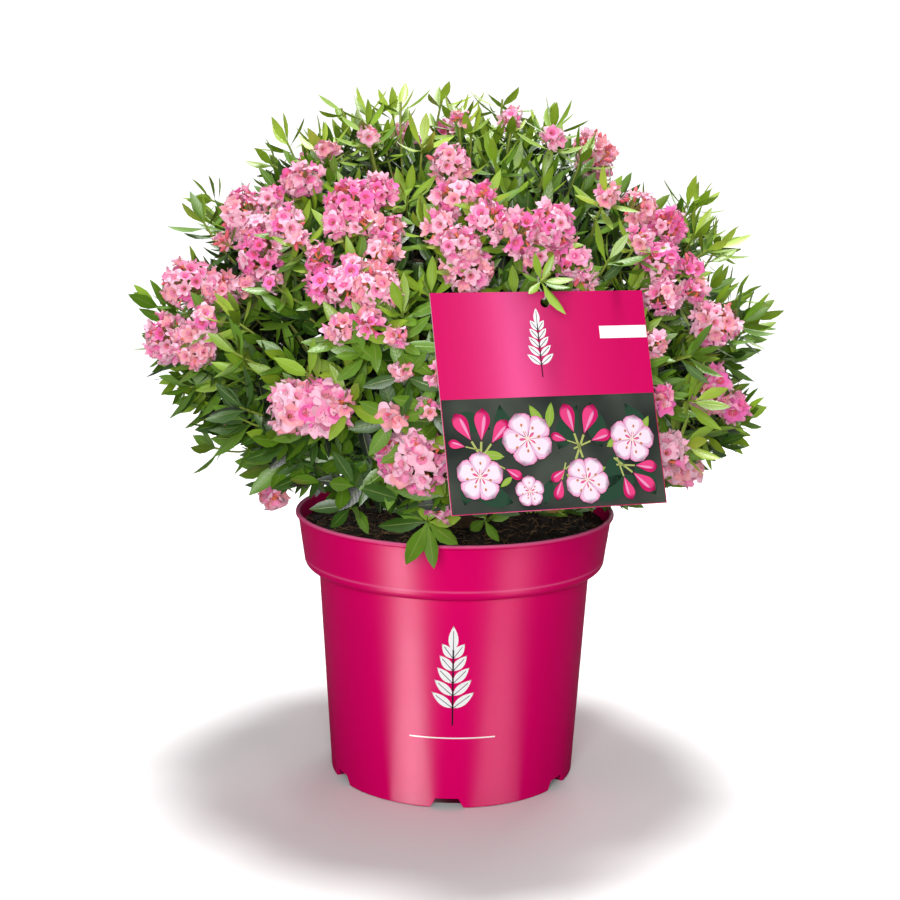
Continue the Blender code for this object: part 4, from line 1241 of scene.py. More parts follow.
def make_trunk_and_boughs(settings):
    """Trunk with root flare and bark, and the boughs that leave it, in rough bark."""
    bark = rough_bark("rough bark", settings.bark_colour)
    points = []
    for ring in range(TRUNK_RINGS):
        height = TRUNK_FOOT + (TRUNK_FORK - TRUNK_FOOT) * (ring / (TRUNK_RINGS - 3)) ** 1.4
        closing = 1.0
        above = ring - TRUNK_RINGS + 3
        if above > 0:
            closing = 0.72 - 0.52 * (above - 1)
            height = TRUNK_FORK + FORK_RADIUS * 0.25 * above
        for side in range(TRUNK_SIDES):
            rim = trunk_rim(tau * side / TRUNK_SIDES, min(height, TRUNK_FORK)) * closing
            place = trunk_point(height) + rim
            points.append(place + rim.normalized() * bark_relief(place, BARK_DEPTH * closing))
    trunk = Gathering()
    trunk.add(points, grid_faces(TRUNK_RINGS, TRUNK_SIDES, True))
    add_piece("trunk_bark", trunk.mesh("trunk"), bark, ["trunk"])

    boughs = Gathering()
    masses = make_masses()
    for mass in masses:
        route = bough_route(mass, BOUGH_STEPS)
        radii = []
        for step, place in enumerate(route):
            taper = (BOUGH_TIP_RADIUS - BOUGH_FOOT_RADIUS) * step / BOUGH_STEPS
            knots = 1.0 + 0.10 * noise.noise(place * 260.0)
            radii.append((BOUGH_FOOT_RADIUS + taper) * knots)
        add_tube(boughs, route, radii, 12)
        add_tube(boughs, [mass.bough_tip, mass.bough_tip.lerp(mass.centre, 0.5), mass.centre],
                 [BOUGH_TIP_RADIUS, STEM_RADIUS, STEM_RADIUS * 0.8], 8)
    nodes = [f"bough_{mass.name}" for mass in masses]
    add_piece("boughs_bark", boughs.mesh("boughs"), bark, nodes)


# Crown

class Mass:
    """One mass of foliage: its place round the heart and its bough."""

    def __init__(self, tier, number, turn, lift, height):
        self.name = f"{tier}_{number}"
        self.heading = heading(turn, lift)
        self.height = height
        self.bough_tip = HEART + self.heading * BOUGH_LENGTH
        outer = crown_reach(self.heading, CORE_SHARE)
        self.centre = HEART + self.heading * (MASS_MIDDLE * (BOUGH_LENGTH + outer))


def make_masses():
    """All masses, tier by tier, with a little seeded unevenness."""
    rng = random.Random(SEED)
    masses = []
    for tier, count, first, lift, height in TIERS:
        for number in range(count):
            turn = first + 360.0 * number / count + rng.uniform(-TURN_JITTER, TURN_JITTER)
            raised = lift + rng.uniform(-LIFT_JITTER, LIFT_JITTER)
            masses.append(Mass(tier, number + 1, turn, raised, height))
    return masses


def crown_level(point, share=1.0):
    """Below 1 inside the crown's outline, drawn in towards its heart by a share."""
    spot = HEART + (point - HEART) / share
    rise = spot.z - CROWN_WAIST
    half = CROWN_RISE if rise > 0 else CROWN_DROP
    across = spot.x - CROWN_TOP_SHIFT * rise / CROWN_RISE
    flat = hypot(across / CROWN_HALF_WIDTH, spot.y / CROWN_HALF_DEPTH)
    return flat ** CROWN_FULLNESS + abs(rise / half) ** CROWN_FULLNESS


def crown_reach(direction, share=1.0):
    """Distance from the heart to the crown's outline."""
    near, far = 0.0, 0.5
    for _ in range(20):
        middle = (near + far) / 2
        if crown_level(HEART + direction * middle, share) < 1:
            near = middle
        else:
            far = middle
    return near


class Label:
    """The hang label's place: its centre, its axes and the hole the thread runs through."""

    def __init__(self):
        yaw, lean, roll = (radians(angle) for angle in (LABEL_YAW, LABEL_LEAN, LABEL_ROLL))
        flat = Vector((cos(yaw), sin(yaw), 0))
        up = round_about(UP, Vector((-sin(yaw), cos(yaw), 0)), lean)
        self.across = round_about(flat, up, roll)
        self.up = round_about(up, -flat, roll)
        self.front = self.across.cross(self.up).normalized()
        top_edge = LABEL_CENTRE + self.up * (LABEL_HEIGHT / 2)
        self.hole = top_edge - self.up * HOLE_DROP + self.across * HOLE_ACROSS
        self.loop_foot = self.hole + self.up * (HOLE_RADIUS - THREAD_RADIUS - GAP)
        self.loop_top = self.loop_foot + self.up * LOOP_HEIGHT

    def place(self, across, up, out=0.0):
        """A place on the card, measured from its centre."""
        return LABEL_CENTRE + self.across * across + self.up * up + self.front * out

    def clears(self, points, room=LABEL_CLEARANCE):
        """True where the back or one edge of the label's slab has every point beyond it."""
        spots = [point - LABEL_CENTRE for point in points]
        return any(all(side * spot.dot(axis) > size / 2 + room for spot in spots)
                   for axis, size, sides in ((self.front, LABEL_THICKNESS, (-1,)),
                                             (self.up, LABEL_HEIGHT, (1, -1)),
                                             (self.across, LABEL_WIDTH, (1, -1)))
                   for side in sides)

    def thread_clears(self, points):
        """True where the points stay on one side of the upright box round the thread."""
        middle = (self.loop_foot + self.loop_top) / 2
        return any(all(side * point[axis] > side * middle[axis] + room for point in points)
                   for axis, room in enumerate(THREAD_ROOM) for side in (1, -1))

    def push_behind(self, point, room):
        """A place behind the card where it would stand in front of one, else the same place."""
        spot = point - LABEL_CENTRE
        level = abs(spot.dot(self.across)) < LABEL_WIDTH / 2 + LABEL_COVER
        if not level or abs(spot.dot(self.up)) > LABEL_HEIGHT / 2 + LABEL_COVER:
            return point
        depth = -spot.dot(self.front) - LABEL_THICKNESS / 2
        return point - self.front * max(0.0, room - depth)


def clear_of_pot(points):
    """True where a shape is above the rim, or hangs outside it."""
    if all(point.z > POT_HEIGHT + POT_CLEARANCE for point in points):
        return True
    centre = sum(points, Vector()) / len(points)
    outward = Vector((centre.x, centre.y, 0)).normalized()
    if all(point.dot(outward) > RIM_RADIUS + POT_CLEARANCE for point in points):
        return all(point.z > COLLAR_FOOT for point in points)
    inside = all(hypot(point.x, point.y) < COLLAR_TOP_RADIUS - SOIL_ROOM for point in points)
    return inside and all(point.z > SOIL_LEVEL + SOIL_ROOM for point in points)


def below_skirt(point):
    """True where a leaf would hide the soil that shows between the rim and the crown."""
    ahead = -point.y - RIM_RADIUS
    if point.y > SKIRT_BACK or not -SKIRT_HALF_WIDTH < point.x < SKIRT_RIGHT:
        return False
    return point.z < SKIRT_HEIGHT + SKIRT_SLOPE * max(SKIRT_INNER, ahead)


@dataclass
class Head:
    """One flower head: a dome of florets at a twig's end."""

    centre: Vector
    radius: float
    axis: Vector
    look: str

    @property
    def foot(self):
        """Where its florets' stalks gather."""
        return self.centre - self.axis * (self.radius * 0.85)


@dataclass
class Leaf:
    """One leaf blade: where it starts, how it lies and how it bends."""

    root: Vector
    along: Vector
    across: Vector
    length: float
    width: float
    bend: float
    fold: float

    @property
    def normal(self):
        """The direction that its face looks in."""
        return self.along.cross(self.across).normalized()

    def marks(self):
        """Root, tip and margins, for the tests of room."""
        middle = self.root + self.along * (self.length * 0.55)
        side = self.across * (self.width / 2)
        tip = self.root + self.along * self.length - self.normal * (self.bend * self.length)
        return [self.root, tip, middle - side, middle + side]


class Crown:
    """Twigs, leaves and flower heads, grown out from the masses by one seeded rule."""

    def __init__(self, tips, leaf_length, leaf_width):
        self.rng = random.Random(SEED)
        self.leaf_length = leaf_length
        self.leaf_width = leaf_width
        self.label = Label()
        self.masses = make_masses()
        self.old_twigs = []
        self.young_twigs = []
        self.leaves = [[] for _ in LEAF_TONES]
        self.heads = []
        self.coarse = {mass.name: [] for mass in self.masses}
        self.place_heads()
        self.grow_coarse_twigs()
        for head in self.heads:
            self.grow_head_twig(head)
        for direction in even_headings(tips):
            self.grow_leafy_twig(direction)
        self.grow_hanger()
        self.grow_rim_sprig()
        for sprig in SET_SPRIGS:
            self.grow_set_sprig(*sprig)

    def nearest_mass(self, direction):
        """The mass that lies most nearly in a direction."""
        return max(self.masses, key=lambda mass: mass.heading.dot(direction))

    def lumps(self, direction):
        """The crown's uneven surface: its reach in a direction, as a share of the outline."""
        turn = degrees(atan2(direction.x, -direction.y))
        lift = degrees(asin(between(-1.0, 1.0, direction.z)))
        share = 0.965 + 0.07 * noise.noise(direction * 3.1 + Vector((4.0, 1.0, 7.0)))
        for middle, level, width, height, depth in HOLLOWS:
            aside = (turn - middle + 180) % 360 - 180
            share -= depth * exp(-(aside / width) ** 2 - ((lift - level) / height) ** 2)
        return share

    def add_head(self, direction, radius, look, spacing, depth=HEAD_DEPTH):
        """Seat one flower head under the crown's outline, clear of label, pot and other heads."""
        reach = crown_reach(direction) * self.lumps(direction) - radius * depth
        spot = self.label.push_behind(HEART + direction * reach, radius + LABEL_CLEARANCE)
        if any((spot - head.centre).length < spacing * (radius + head.radius)
               for head in self.heads):
            return
        ball = [spot + side * radius for side in even_headings(24, -90.0)]
        if clear_of_pot(ball) and self.label.clears(ball) and self.label.thread_clears(ball):
            mass = self.nearest_mass(direction)
            axis = ((spot - mass.centre).normalized() + direction + UP * 0.25).normalized()
            self.heads.append(Head(spot, radius, axis, look))

    def place_heads(self):
        """The heads that the view shows, and as many more on the far side and the top."""
        for turn, lift, radius, look in FRONT_HEADS:
            self.add_head(heading(turn, lift), radius * HEAD_UNIT, look, FRONT_SPACING)
        for direction in even_headings(BACK_HEADINGS):
            share = TOP_SHARE if direction.z > TOP_LIFT else BACK_SHARE
            if direction.y > BACK_FROM and self.rng.random() < share:
                look = self.rng.choice(BACK_LOOKS)
                for _ in range(self.rng.choice(BACK_CLUSTERS)):
                    swing = jolt(self.rng, CLUSTER_SPREAD)
                    radius = self.rng.uniform(*BACK_RADII)
                    swung = (direction + swing).normalized()
                    depth = SUNK_DEPTH if swung.z > SUNK_ABOVE else HEAD_DEPTH
                    self.add_head(swung, radius, look, BACK_SPACING, depth)
        for place, radius, axis, look in SET_HEADS:
            self.heads.append(Head(Vector(place), radius, Vector(axis).normalized(), look))

    def grow_coarse_twigs(self):
        """The twigs that leave each mass's middle, before they branch."""
        for direction in even_headings(COARSE_TWIGS):
            mass = self.nearest_mass(direction)
            end = HEART + direction * crown_reach(direction, COARSE_REACH)
            end = self.label.push_behind(end, 0.05)
            if not clear_of_pot([end]):
                continue
            bow = jolt(self.rng, 0.006)
            first, second = mass.centre.lerp(end, 0.35) + bow, end - direction * 0.012
            route = [bezier(mass.centre, first, second, end, step / 5) for step in range(6)]
            self.coarse[mass.name].append(route)
            self.old_twigs.append((route, 0.0017, 0.0011))

    def fork(self, mass, goal):
        """Where a fine twig leaves the coarse twig that points best at its goal."""
        routes = self.coarse[mass.name]
        if not routes:
            return mass.centre, (goal - mass.centre).normalized()
        route = min(routes, key=lambda route: (goal - route[-1]).length)
        step = self.rng.choice((2, 3, 4, 5))
        return route[step], (route[step] - route[step - 1]).normalized()

    def twig_to(self, mass, goal, axis, old_radius=0.0011, young_radius=0.0008):
        """A fine twig on a smooth curve: woody first, green towards its tip."""
        start, leaving = self.fork(mass, goal)
        reach = (goal - start).length
        first = start + leaving * reach * 0.30
        second = goal - axis * reach * 0.38
        route = [bezier(start, first, second, goal, step / 8) for step in range(9)]
        self.old_twigs.append((route[:5], old_radius, old_radius * 0.85))
        self.young_twigs.append((route[4:], old_radius * 0.85, young_radius))
        return route

    def tone_at(self, place, share):
        """Which leaf tone a place takes: lighter high up and at the tip of a shoot, darker deep
        inside.
        """
        # Lighter high up: partly young growth, partly painted light
        height = between(0.0, 1.0, (place.z - TONES_FROM) / (CROWN_TOP - TONES_FROM))
        depth = crown_level(place) ** (1 / CROWN_FULLNESS)
        # Painted shade: leaves deep inside the crown take darker tones
        painted_shade = max(0.0, 0.85 - depth) * 12.0
        return 2.15 - 2.15 * height + 0.8 * share + painted_shade

    def add_leaf(self, root, along, across, scale, tone, tests=True, free=False):
        """Add one leaf where it has room; a free one may hang below the skirt."""
        low = between(0.0, 1.0, (LEAF_CHANGE_TOP - root.z) / LEAF_CHANGE_SPAN)
        low *= SLENDER_SIDE if root.x > SLENDER_FROM else 1.0
        length = self.leaf_length * scale * (0.92 + 0.17 * low)
        width = self.leaf_width * (0.35 + 0.65 * scale) * self.rng.uniform(0.88, 1.12)
        width *= 0.80 + 0.42 * low
        leaf = Leaf(root, along, across, length, width, self.rng.uniform(-0.03, 0.20),
                    self.rng.uniform(0.10, 0.42))
        marks = leaf.marks()
        inside = crown_level(marks[1]) <= LEAF_OVERHANG and not below_skirt(marks[1])
        beside = self.label.clears(marks) and self.label.thread_clears(marks)
        if clear_of_pot(marks) and (free or inside) and (beside or not tests):
            self.leaves[between(0, len(LEAF_TONES) - 1, int(round(tone)))].append(leaf)

    def whorl(self, tip, axis, count, spray_tone, sag=0.0, vigour=1.0, free=False, opening=24.0):
        """A spiral whorl of leaves at a twig's tip, the youngest upright in its middle."""
        first, second = side_axes(axis)
        turn = self.rng.uniform(0, tau)
        for rank in range(count):
            share = rank / max(1, count - 1)
            turn += LEAF_TURN + self.rng.uniform(-0.22, 0.22)
            spread = radians(opening + (86 - opening) * share + self.rng.uniform(-9, 11))
            side = round_about(first, second, turn)
            along = (round_about(axis, side, spread) + UP * (0.10 - sag)).normalized()
            across = along.cross(axis) + along.cross(side) * self.rng.uniform(-0.25, 0.25)
            across.normalize()
            across = (across - along * across.dot(along)).normalized()
            scale = vigour * (0.56 + 0.44 * sin(pi * (0.18 + 0.42 * share) / 0.6 * 0.62))
            scale *= self.rng.uniform(0.88, 1.10)
            root = tip - axis * (0.0010 + 0.0011 * rank)
            tone = self.tone_at(tip, share) + spray_tone + self.rng.uniform(-0.35, 0.35)
            self.add_leaf(root, along, across, scale, tone, True, free)

    def side_leaves(self, route, first_step, spray_tone, count):
        """Older leaves down the twig, set in a spiral."""
        turn = self.rng.uniform(0, tau)
        for number in range(count):
            share = first_step + (0.93 - first_step) * (number + self.rng.random()) / count
            step = min(len(route) - 2, int(share * (len(route) - 1)))
            place = route[step].lerp(route[step + 1], share * (len(route) - 1) - step)
            axis = (route[step + 1] - route[step]).normalized()
            turn += LEAF_TURN + self.rng.uniform(-0.3, 0.3)
            side = round_about(*side_axes(axis), turn)
            along = (axis * 0.55 + side + UP * self.rng.uniform(-0.15, 0.2)).normalized()
            across = along.cross(axis).normalized()
            tone = self.tone_at(place, 1.0) + spray_tone + self.rng.uniform(-0.2, 0.6)
            self.add_leaf(place, along, across, self.rng.uniform(0.78, 1.05), tone)

    def tip_axis(self, mass, tip, direction):
        """A twig's tip turns from its own line towards the open and the light."""
        out = (tip - mass.centre).normalized()
        lift = UP * (0.30 if direction.z > 0 else 0.05)
        return (out + direction * 0.8 + lift + jolt(self.rng, 0.30)).normalized()

    def grow_head_twig(self, head):
        """The twig that carries a flower head, with its collar of leaves."""
        mass = self.nearest_mass((head.centre - HEART).normalized())
        route = self.twig_to(mass, head.foot, head.axis, 0.0013, 0.0010)
        tone = self.rng.uniform(-0.6, 0.5)
        tip = head.foot + head.axis * 0.001
        self.whorl(tip, head.axis, 6, tone + 0.3, 0.1, 1.02, opening=62.0)
        self.side_leaves(route, 0.55, tone, 3)

    def grow_leafy_twig(self, direction):
        """One leafy shoot, unless a flower head stands in its place."""
        rng = self.rng
        direction = (direction + jolt(rng, 0.05)).normalized()
        mass = self.nearest_mass(direction)
        reach = rng.uniform(0.93, 1.0) if rng.random() < LONG_SHOOTS else rng.uniform(0.78, 0.92)
        reach *= self.lumps(direction)
        skirt = direction.z < sin(radians(SKIRT_LIFT))
        turn = degrees(atan2(direction.x, -direction.y))
        thinning = SKIRT_THINNING if skirt else 0.0
        if direction.z < LOOSE_BELOW:
            thinning += LOOSE_SHARE * exp(-((turn - LOOSE_TURN) / LOOSE_WIDTH) ** 2)
        if rng.random() < thinning:
            return
        tip = HEART + direction * crown_reach(direction, reach)
        if below_skirt(tip):
            return
        for head in self.heads:
            gap = tip - head.centre
            outer = (head.centre - HEART).length < (tip - HEART).length + head.radius
            if gap.length < head.radius * 0.95 + HEAD_ROOM and outer:
                reach = (tip - HEART).length - head.radius * rng.uniform(1.3, 2.0)
                tip = HEART + direction * reach
                break
        tip = self.label.push_behind(tip, 0.020)
        if not clear_of_pot([tip]):
            return
        axis = self.tip_axis(mass, tip, direction)
        route = self.twig_to(mass, tip, axis)
        tone = rng.uniform(-0.9, 0.8)
        self.whorl(tip, axis, rng.choice((6, 7, 7, 8)), tone, 0.15 if skirt else 0.0)
        self.side_leaves(route, 0.42, tone, rng.choice((4, 5, 6)))

    def grow_hanger(self):
        """The twig that the label hangs on, with leaves that hang over the label's edge."""
        label = self.label
        seat = label.loop_top - label.up * (THREAD_RADIUS + GAP + HANGER_RADIUS)
        end = seat + label.front * HANGER_OVERRUN
        behind = seat - label.front * HANGER_OVERRUN
        mass = self.nearest_mass((seat - HEART).normalized())
        route = [mass.centre, mass.centre.lerp(behind, 0.5) + UP * 0.006, behind]
        self.old_twigs.append((route, 0.0020, HANGER_RADIUS))
        self.young_twigs.append(([behind, seat, end], HANGER_RADIUS, HANGER_RADIUS * 0.8))
        bud = end - label.across * 0.0060 - label.up * 0.0045
        self.young_twigs.append(([end, end.lerp(bud, 0.5) + label.front * 0.001, bud],
                                 HANGER_RADIUS * 0.8, HANGER_RADIUS * 0.6))
        for across, up, out, scale, tone in HANGER_LEAVES:
            along = (label.across * across + label.up * up + label.front * out).normalized()
            side = along.cross(label.front + label.up * 0.6).normalized()
            self.add_leaf(bud, along, side, scale, tone, False)

    def grow_set_sprig(self, place, axis, count, vigour, tone):
        """A shoot that the view shows clearly."""
        place, axis = Vector(place), Vector(axis).normalized()
        mass = self.nearest_mass((place - HEART).normalized())
        route = self.twig_to(mass, place, axis, 0.0010, 0.0007)
        self.whorl(place, axis, count, tone, 0.05, vigour, True)
        self.side_leaves(route, 0.72, tone, 2)

    def grow_rim_sprig(self):
        """The shoot that leans out over the pot's front rim."""
        mass = self.nearest_mass(heading(-12, -20))
        route = self.twig_to(mass, RIM_SPRIG, RIM_SPRIG_AXIS, 0.0012, 0.0010)
        for number, (x, y, z, scale, tone) in enumerate(RIM_LEAVES):
            along = Vector((x, y, z)).normalized()
            across = along.cross(RIM_SPRIG_AXIS).normalized()
            root = RIM_SPRIG - RIM_SPRIG_AXIS * 0.0008 * number
            self.add_leaf(root, along, across, scale, tone, True, True)
        self.side_leaves(route, 0.5, 0.3, 3)


@lru_cache(maxsize=1)
def grown_crown(tips, leaf_length, leaf_width):
    """The crown for these settings, grown once for all the pieces that need it."""
    return Crown(tips, leaf_length, leaf_width)


def crown_of(settings):
    """The crown that these settings grow."""
    return grown_crown(settings.tips, settings.leaf_length, settings.leaf_width)


def make_twigs(settings):
    """Woody twigs and green shoots."""
    crown = crown_of(settings)
    woody = twig_skin("twig bark", settings.bark_colour, 0.75)
    green = twig_skin("green shoots", settings.shoot_colour, 0.50)
    for name, twigs, finish, sides in (("twigs_woody", crown.old_twigs, woody, 6),
                                       ("twigs_green", crown.young_twigs, green, 5)):
        tubes = Gathering()
        for route, foot_radius, tip_radius in twigs:
            taper = (tip_radius - foot_radius) / (len(route) - 1)
            radii = [foot_radius + taper * step for step in range(len(route))]
            add_tube(tubes, route, radii, sides)
        add_foliage(name, tubes.mesh(name), finish)


def make_leaves(settings):
    """All leaf blades, one piece to a tone."""
    rows = len(LEAF_STATIONS)
    along, half = (np.array(row)[None, :, None, None] for row in zip(*LEAF_STATIONS))
    side = np.array([-1.0, 0.0, 1.0])[None, None, :, None]
    corner_uv = np.array([[(s + 1) / 2, row[0]] for row in LEAF_STATIONS for s in (-1, 0, 1)])
    for (name, colour), leaves in zip(LEAF_TONES, crown_of(settings).leaves):
        if not leaves:
            continue
        root, ahead, across, normal, length, width, bend, fold = (
            np.array([getattr(leaf, key) for leaf in leaves], float).reshape(len(leaves), 1, 1, -1)
            for key in ("root", "along", "across", "normal", "length", "width", "bend", "fold"))
        aside = side * half * width / 2
        raised = abs(side) * half * width / 2 * fold - bend * length * along ** 2
        points = root + ahead * along * length + across * aside + normal * raised
        steps = np.arange(len(leaves))[:, None, None] * rows * 3
        faces = (grid_faces(rows, 3)[None] + steps).reshape(-1, 3)
        mesh = mesh_from_arrays(name, points.reshape(-1, 3), faces)
        layer = mesh.uv_layers.new(name="blade")
        layer.data.foreach_set("uv", corner_uv[faces.ravel() % (rows * 3)].ravel())
        add_foliage(name, mesh, leaf_skin(name, tint(*colour)))


def floret_template(rings):
    """Points of a five-lobed floret, lobe by lobe, facing +Z; each lobe overlaps the next."""
    points = []
    for lobe in range(5):
        length = 1.0 + LOBE_UNEVENNESS * cos(2.2 * lobe + 9 * rings[-1][1])
        for number, (radius, height, half) in enumerate(rings):
            free = max(0, number - 2) / 2
            radius *= 1.0 + (length - 1.0) * free
            for column in range(FLORET_COLUMNS):
                side = column / (FLORET_COLUMNS - 1) * 2 - 1
                angle = radians(72.0 * lobe + side * half)
                reach = radius * (1 - 0.10 * free * side * side)
                ruffle = 0.10 * cos(2.6 * lobe + 5.0 * side)
                rise = height + free * (0.09 * side - 0.13 * side * side + ruffle)
                points.append((reach * cos(angle), reach * sin(angle), rise))
    return np.array(points)


def floret_faces(rings, lobes=range(5)):
    """Triangles between given pairs of rings, for the lobes named."""
    rows = len(OPEN_RINGS)
    grid = grid_faces(rows, FLORET_COLUMNS)
    per_ring = (FLORET_COLUMNS - 1) * 2
    chosen = np.concatenate([grid[ring * per_ring:(ring + 1) * per_ring] for ring in rings])
    return np.concatenate([chosen + lobe * rows * FLORET_COLUMNS for lobe in lobes])


def stamen_template():
    """Filaments and anthers of one floret, as two sets of points and triangles."""
    filaments, anthers = Gathering(), Gathering()
    for number in range(STAMENS):
        angle = tau * (number + 0.5) / STAMENS
        reach = 0.16 + 0.08 * (number % 2)
        foot = Vector((0.04 * cos(angle), 0.04 * sin(angle), -0.60))
        tip = Vector((reach * cos(angle), reach * sin(angle), 0.20 + 0.12 * (number % 3)))
        add_tube(filaments, [foot, tip], [0.022, 0.018], 3)
        across, other = side_axes((tip - foot).normalized())
        points = [tip + way * 0.045 for way in (-across, across, -other, other)]
        points += [tip - UP * 0.05, tip + UP * 0.09]
        faces = [(0, 2, 4), (2, 1, 4), (1, 3, 4), (3, 0, 4), (2, 0, 5), (1, 2, 5), (3, 1, 5),
                 (0, 3, 5)]
        anthers.add(points, faces)
    return filaments.joined(), anthers.joined()


def bud_template():
    """A closed bud, plump below and pointed above."""
    points = [point for radius, height in BUD_RINGS for point in circle(radius, height, BUD_SIDES)]
    return np.array(points), grid_faces(len(BUD_RINGS), BUD_SIDES, True)


def head_florets(head, floret, rng):
    """Where each floret of a head sits: (matrix, tone, bud or not); high heads have small ones."""
    large = head.centre.z < SMALL_ABOVE
    floret *= LARGE_FLORET if large else SMALL_FLORET
    spread = head.radius - floret * 0.20
    crowding = LARGE_CROWDING if large else SMALL_CROWDING
    count = max(6, int(round(crowding * (spread / floret) ** 2)))
    first, second = side_axes(head.axis)
    swing = rng.uniform(0, tau)
    stretch = [rng.uniform(0.86, 1.14) for _ in range(3)]
    florets = []
    for direction in even_headings(count, LOWEST_FLORET):
        x = direction.x * cos(swing) - direction.y * sin(swing)
        y = direction.x * sin(swing) + direction.y * cos(swing)
        out = first * x + second * y + head.axis * direction.z
        out = (out + jolt(rng, 0.15)).normalized()
        facing = (out + jolt(rng, 0.55)).normalized()
        out = Vector([part * share for part, share in zip(out, stretch)])
        bud = rng.random() < BUD_SHARES[head.look]
        size = floret * rng.uniform(0.80, 1.14) * (0.80 if bud else 1.0)
        place = head.centre + out * spread * rng.uniform(0.80, 1.06)
        aside = round_about(*side_axes(facing), rng.uniform(0, tau))
        matrix = frame_matrix(place, aside, facing.cross(aside), facing, size)
        florets.append((matrix, rng.choice(LOOKS[head.look]), bud))
    return florets


def make_flowers(settings):
    """Petals by tone, throats, stamens, buds and the stalks that join each floret to its head."""
    label = Label()
    rng = random.Random(SEED + 7)
    petals = [Gathering() for _ in PETAL_TONES]
    throats, stalks = Gathering(), Gathering()
    open_frames, shapes, bud_frames = [], [], []
    for head in crown_of(settings).heads:
        for matrix, tone, bud in head_florets(head, settings.floret, rng):
            rim = [matrix.translation + matrix.to_3x3() @ Vector((x, y, 0.1))
                   for x, y in ((1, 0), (-1, 0), (0, 1), (0, -1))]
            if not (label.clears(rim, 0.0015) and label.thread_clears(rim) and clear_of_pot(rim)):
                continue
            foot = matrix @ Vector((0, 0, BUD_FOOT if bud else FLORET_FOOT))
            stalk_foot = head.foot + (head.centre - head.foot) * rng.uniform(0.1, 0.7)
            add_tube(stalks, [stalk_foot, foot], [0.00050, 0.00042], 4)
            if bud:
                bud_frames.append(matrix)
            else:
                open_frames.append(matrix)
                shapes.append((tone, int(rng.random() < CUPPED_SHARE)))
    templates = [floret_template(rings) for rings in (OPEN_RINGS, CUPPED_RINGS)]
    base = np.concatenate([floret_faces((2,)), floret_faces((3,), (1, 4))])
    tips, inner, throat = floret_faces((3,), (0, 2, 3)), floret_faces((1,)), floret_faces((0,))
    for kind in sorted(set(shapes)):
        tone, cupped = kind
        frames = [matrix for matrix, shape in zip(open_frames, shapes) if shape == kind]
        for part, faces in ((petals[tone], base), (petals[TIP_TONES[tone]], tips),
                            (petals[INNER_TONES[tone]], inner), (throats, throat)):
            part.add_copies(templates[cupped], faces, frames)
    for (name, colour), part in zip((*PETAL_TONES, THROAT_TONE), (*petals, throats)):
        add_foliage(name, tidy(part.mesh(name)), petal_skin(name, tint(*colour)))
    add_foliage("flower_stalks", tidy(stalks.mesh("flower_stalks")),
                soft_parts_skin("flower stalks", tint(150, 140, 72)))
    filament, anther = stamen_template()
    for name, template, frames, colour in (
        ("flower_filaments", filament, open_frames, (250, 206, 214)),
        ("flower_anthers", anther, open_frames, (176, 96, 58)),
        ("flower_buds", bud_template(), bud_frames, (232, 104, 118)),
    ):
        part = Gathering()
        part.add_copies(*template, frames)
        add_foliage(name, part.mesh(name), soft_parts_skin(name, tint(*colour)))


# Label and thread

def flat_piece(name, label, shapes, layer, finish):
    """Printed flat shapes on the label's face, one thin layer above another."""
    part = Gathering()
    for points, faces in shapes:
        out = LABEL_THICKNESS / 2 + LAYER * layer
        part.add([label.place(x, y, out) for x, y in points], faces)
    add_piece(name, part.mesh(name, False), finish)


def print_blossom(looks, x, y, radius, spin):
    """One open blossom: rim, blush, pale middle, throat and stamens."""
    for key, reach, turn, width in BLOSSOM_RINGS:
        looks[key] += [
            rounded_petal(x, y, spin + turn + 72.0 * petal, radius * reach, radius * width)
            for petal in range(5)]
    for stamen in range(7):
        direction = spin + 20 + 360 * stamen / 7
        reach = radius * (0.36 + 0.10 * (stamen % 2))
        end = (x + cos(radians(direction)) * reach, y + sin(radians(direction)) * reach)
        looks["stamen"].append(flat_strip((x, y), end, radius * 0.035, 2))
        looks["anther"].append(rounded_petal(*end, direction, radius * 0.13, radius * 0.10, 4))


def print_bud(looks, x, y, direction, length):
    """One closed bud on its stalk."""
    turn = radians(direction)
    foot = (x - cos(turn) * length * 0.8, y - sin(turn) * length * 0.8)
    looks["vein"].append(flat_strip(foot, (x, y), length * 0.07, 2))
    for key, aside, reach, width in BUD_COATS:
        looks[key].append(rounded_petal(x, y, direction + aside, length * reach, length * width))


def make_card(settings, label):
    """The card itself, with its round hole."""
    turn = Matrix((label.across, label.up, label.front)).transposed().to_4x4()
    size = Matrix.Diagonal((LABEL_WIDTH, LABEL_HEIGHT, LABEL_THICKNESS, 1.0))
    mesh = basic_mesh("label", bmesh.ops.create_cube, size=1.0,
                      matrix=Matrix.Translation(LABEL_CENTRE) @ turn @ size)
    front = printed_card("label card", settings.colour, settings.glow_colour, *GLOW_BAND)
    card = add_piece("label_card", mesh, front, ["label"])
    mesh.materials.append(printed_card("card edge", tint(236, 214, 220)))
    hole = basic_mesh("label hole cutter", bmesh.ops.create_cone, cap_ends=True, segments=40,
                      radius1=HOLE_RADIUS, radius2=HOLE_RADIUS, depth=HOLE_CUT_DEPTH,
                      matrix=Matrix.Translation(label.hole) @ turn)
    cut_away(card, [add_object("label_hole_cutter", hole)])
    for face in card.data.polygons:
        face.material_index = 0 if face.normal.dot(label.front) > 0.9 else 1


def print_looks():
    """The lower panel's flat shapes: leaves in shade and in light, buds and blossoms, by ink."""
    looks = {name: [] for name, _ in LABEL_INKS}
    for key, shapes in (("shade", LABEL_SHADE), ("leaf", LABEL_LEAVES)):
        for *place, length, share in shapes:
            leaf = (*place, length, length * share)
            looks[key].append(flat_leaf(*leaf))
            if key == "leaf":
                looks["vein"] += sprig_veins([leaf], 0.0005)
    for flower in LABEL_BUDS:
        print_bud(looks, *flower)
    for flower in LABEL_FLOWERS:
        print_blossom(looks, *flower)
    return looks


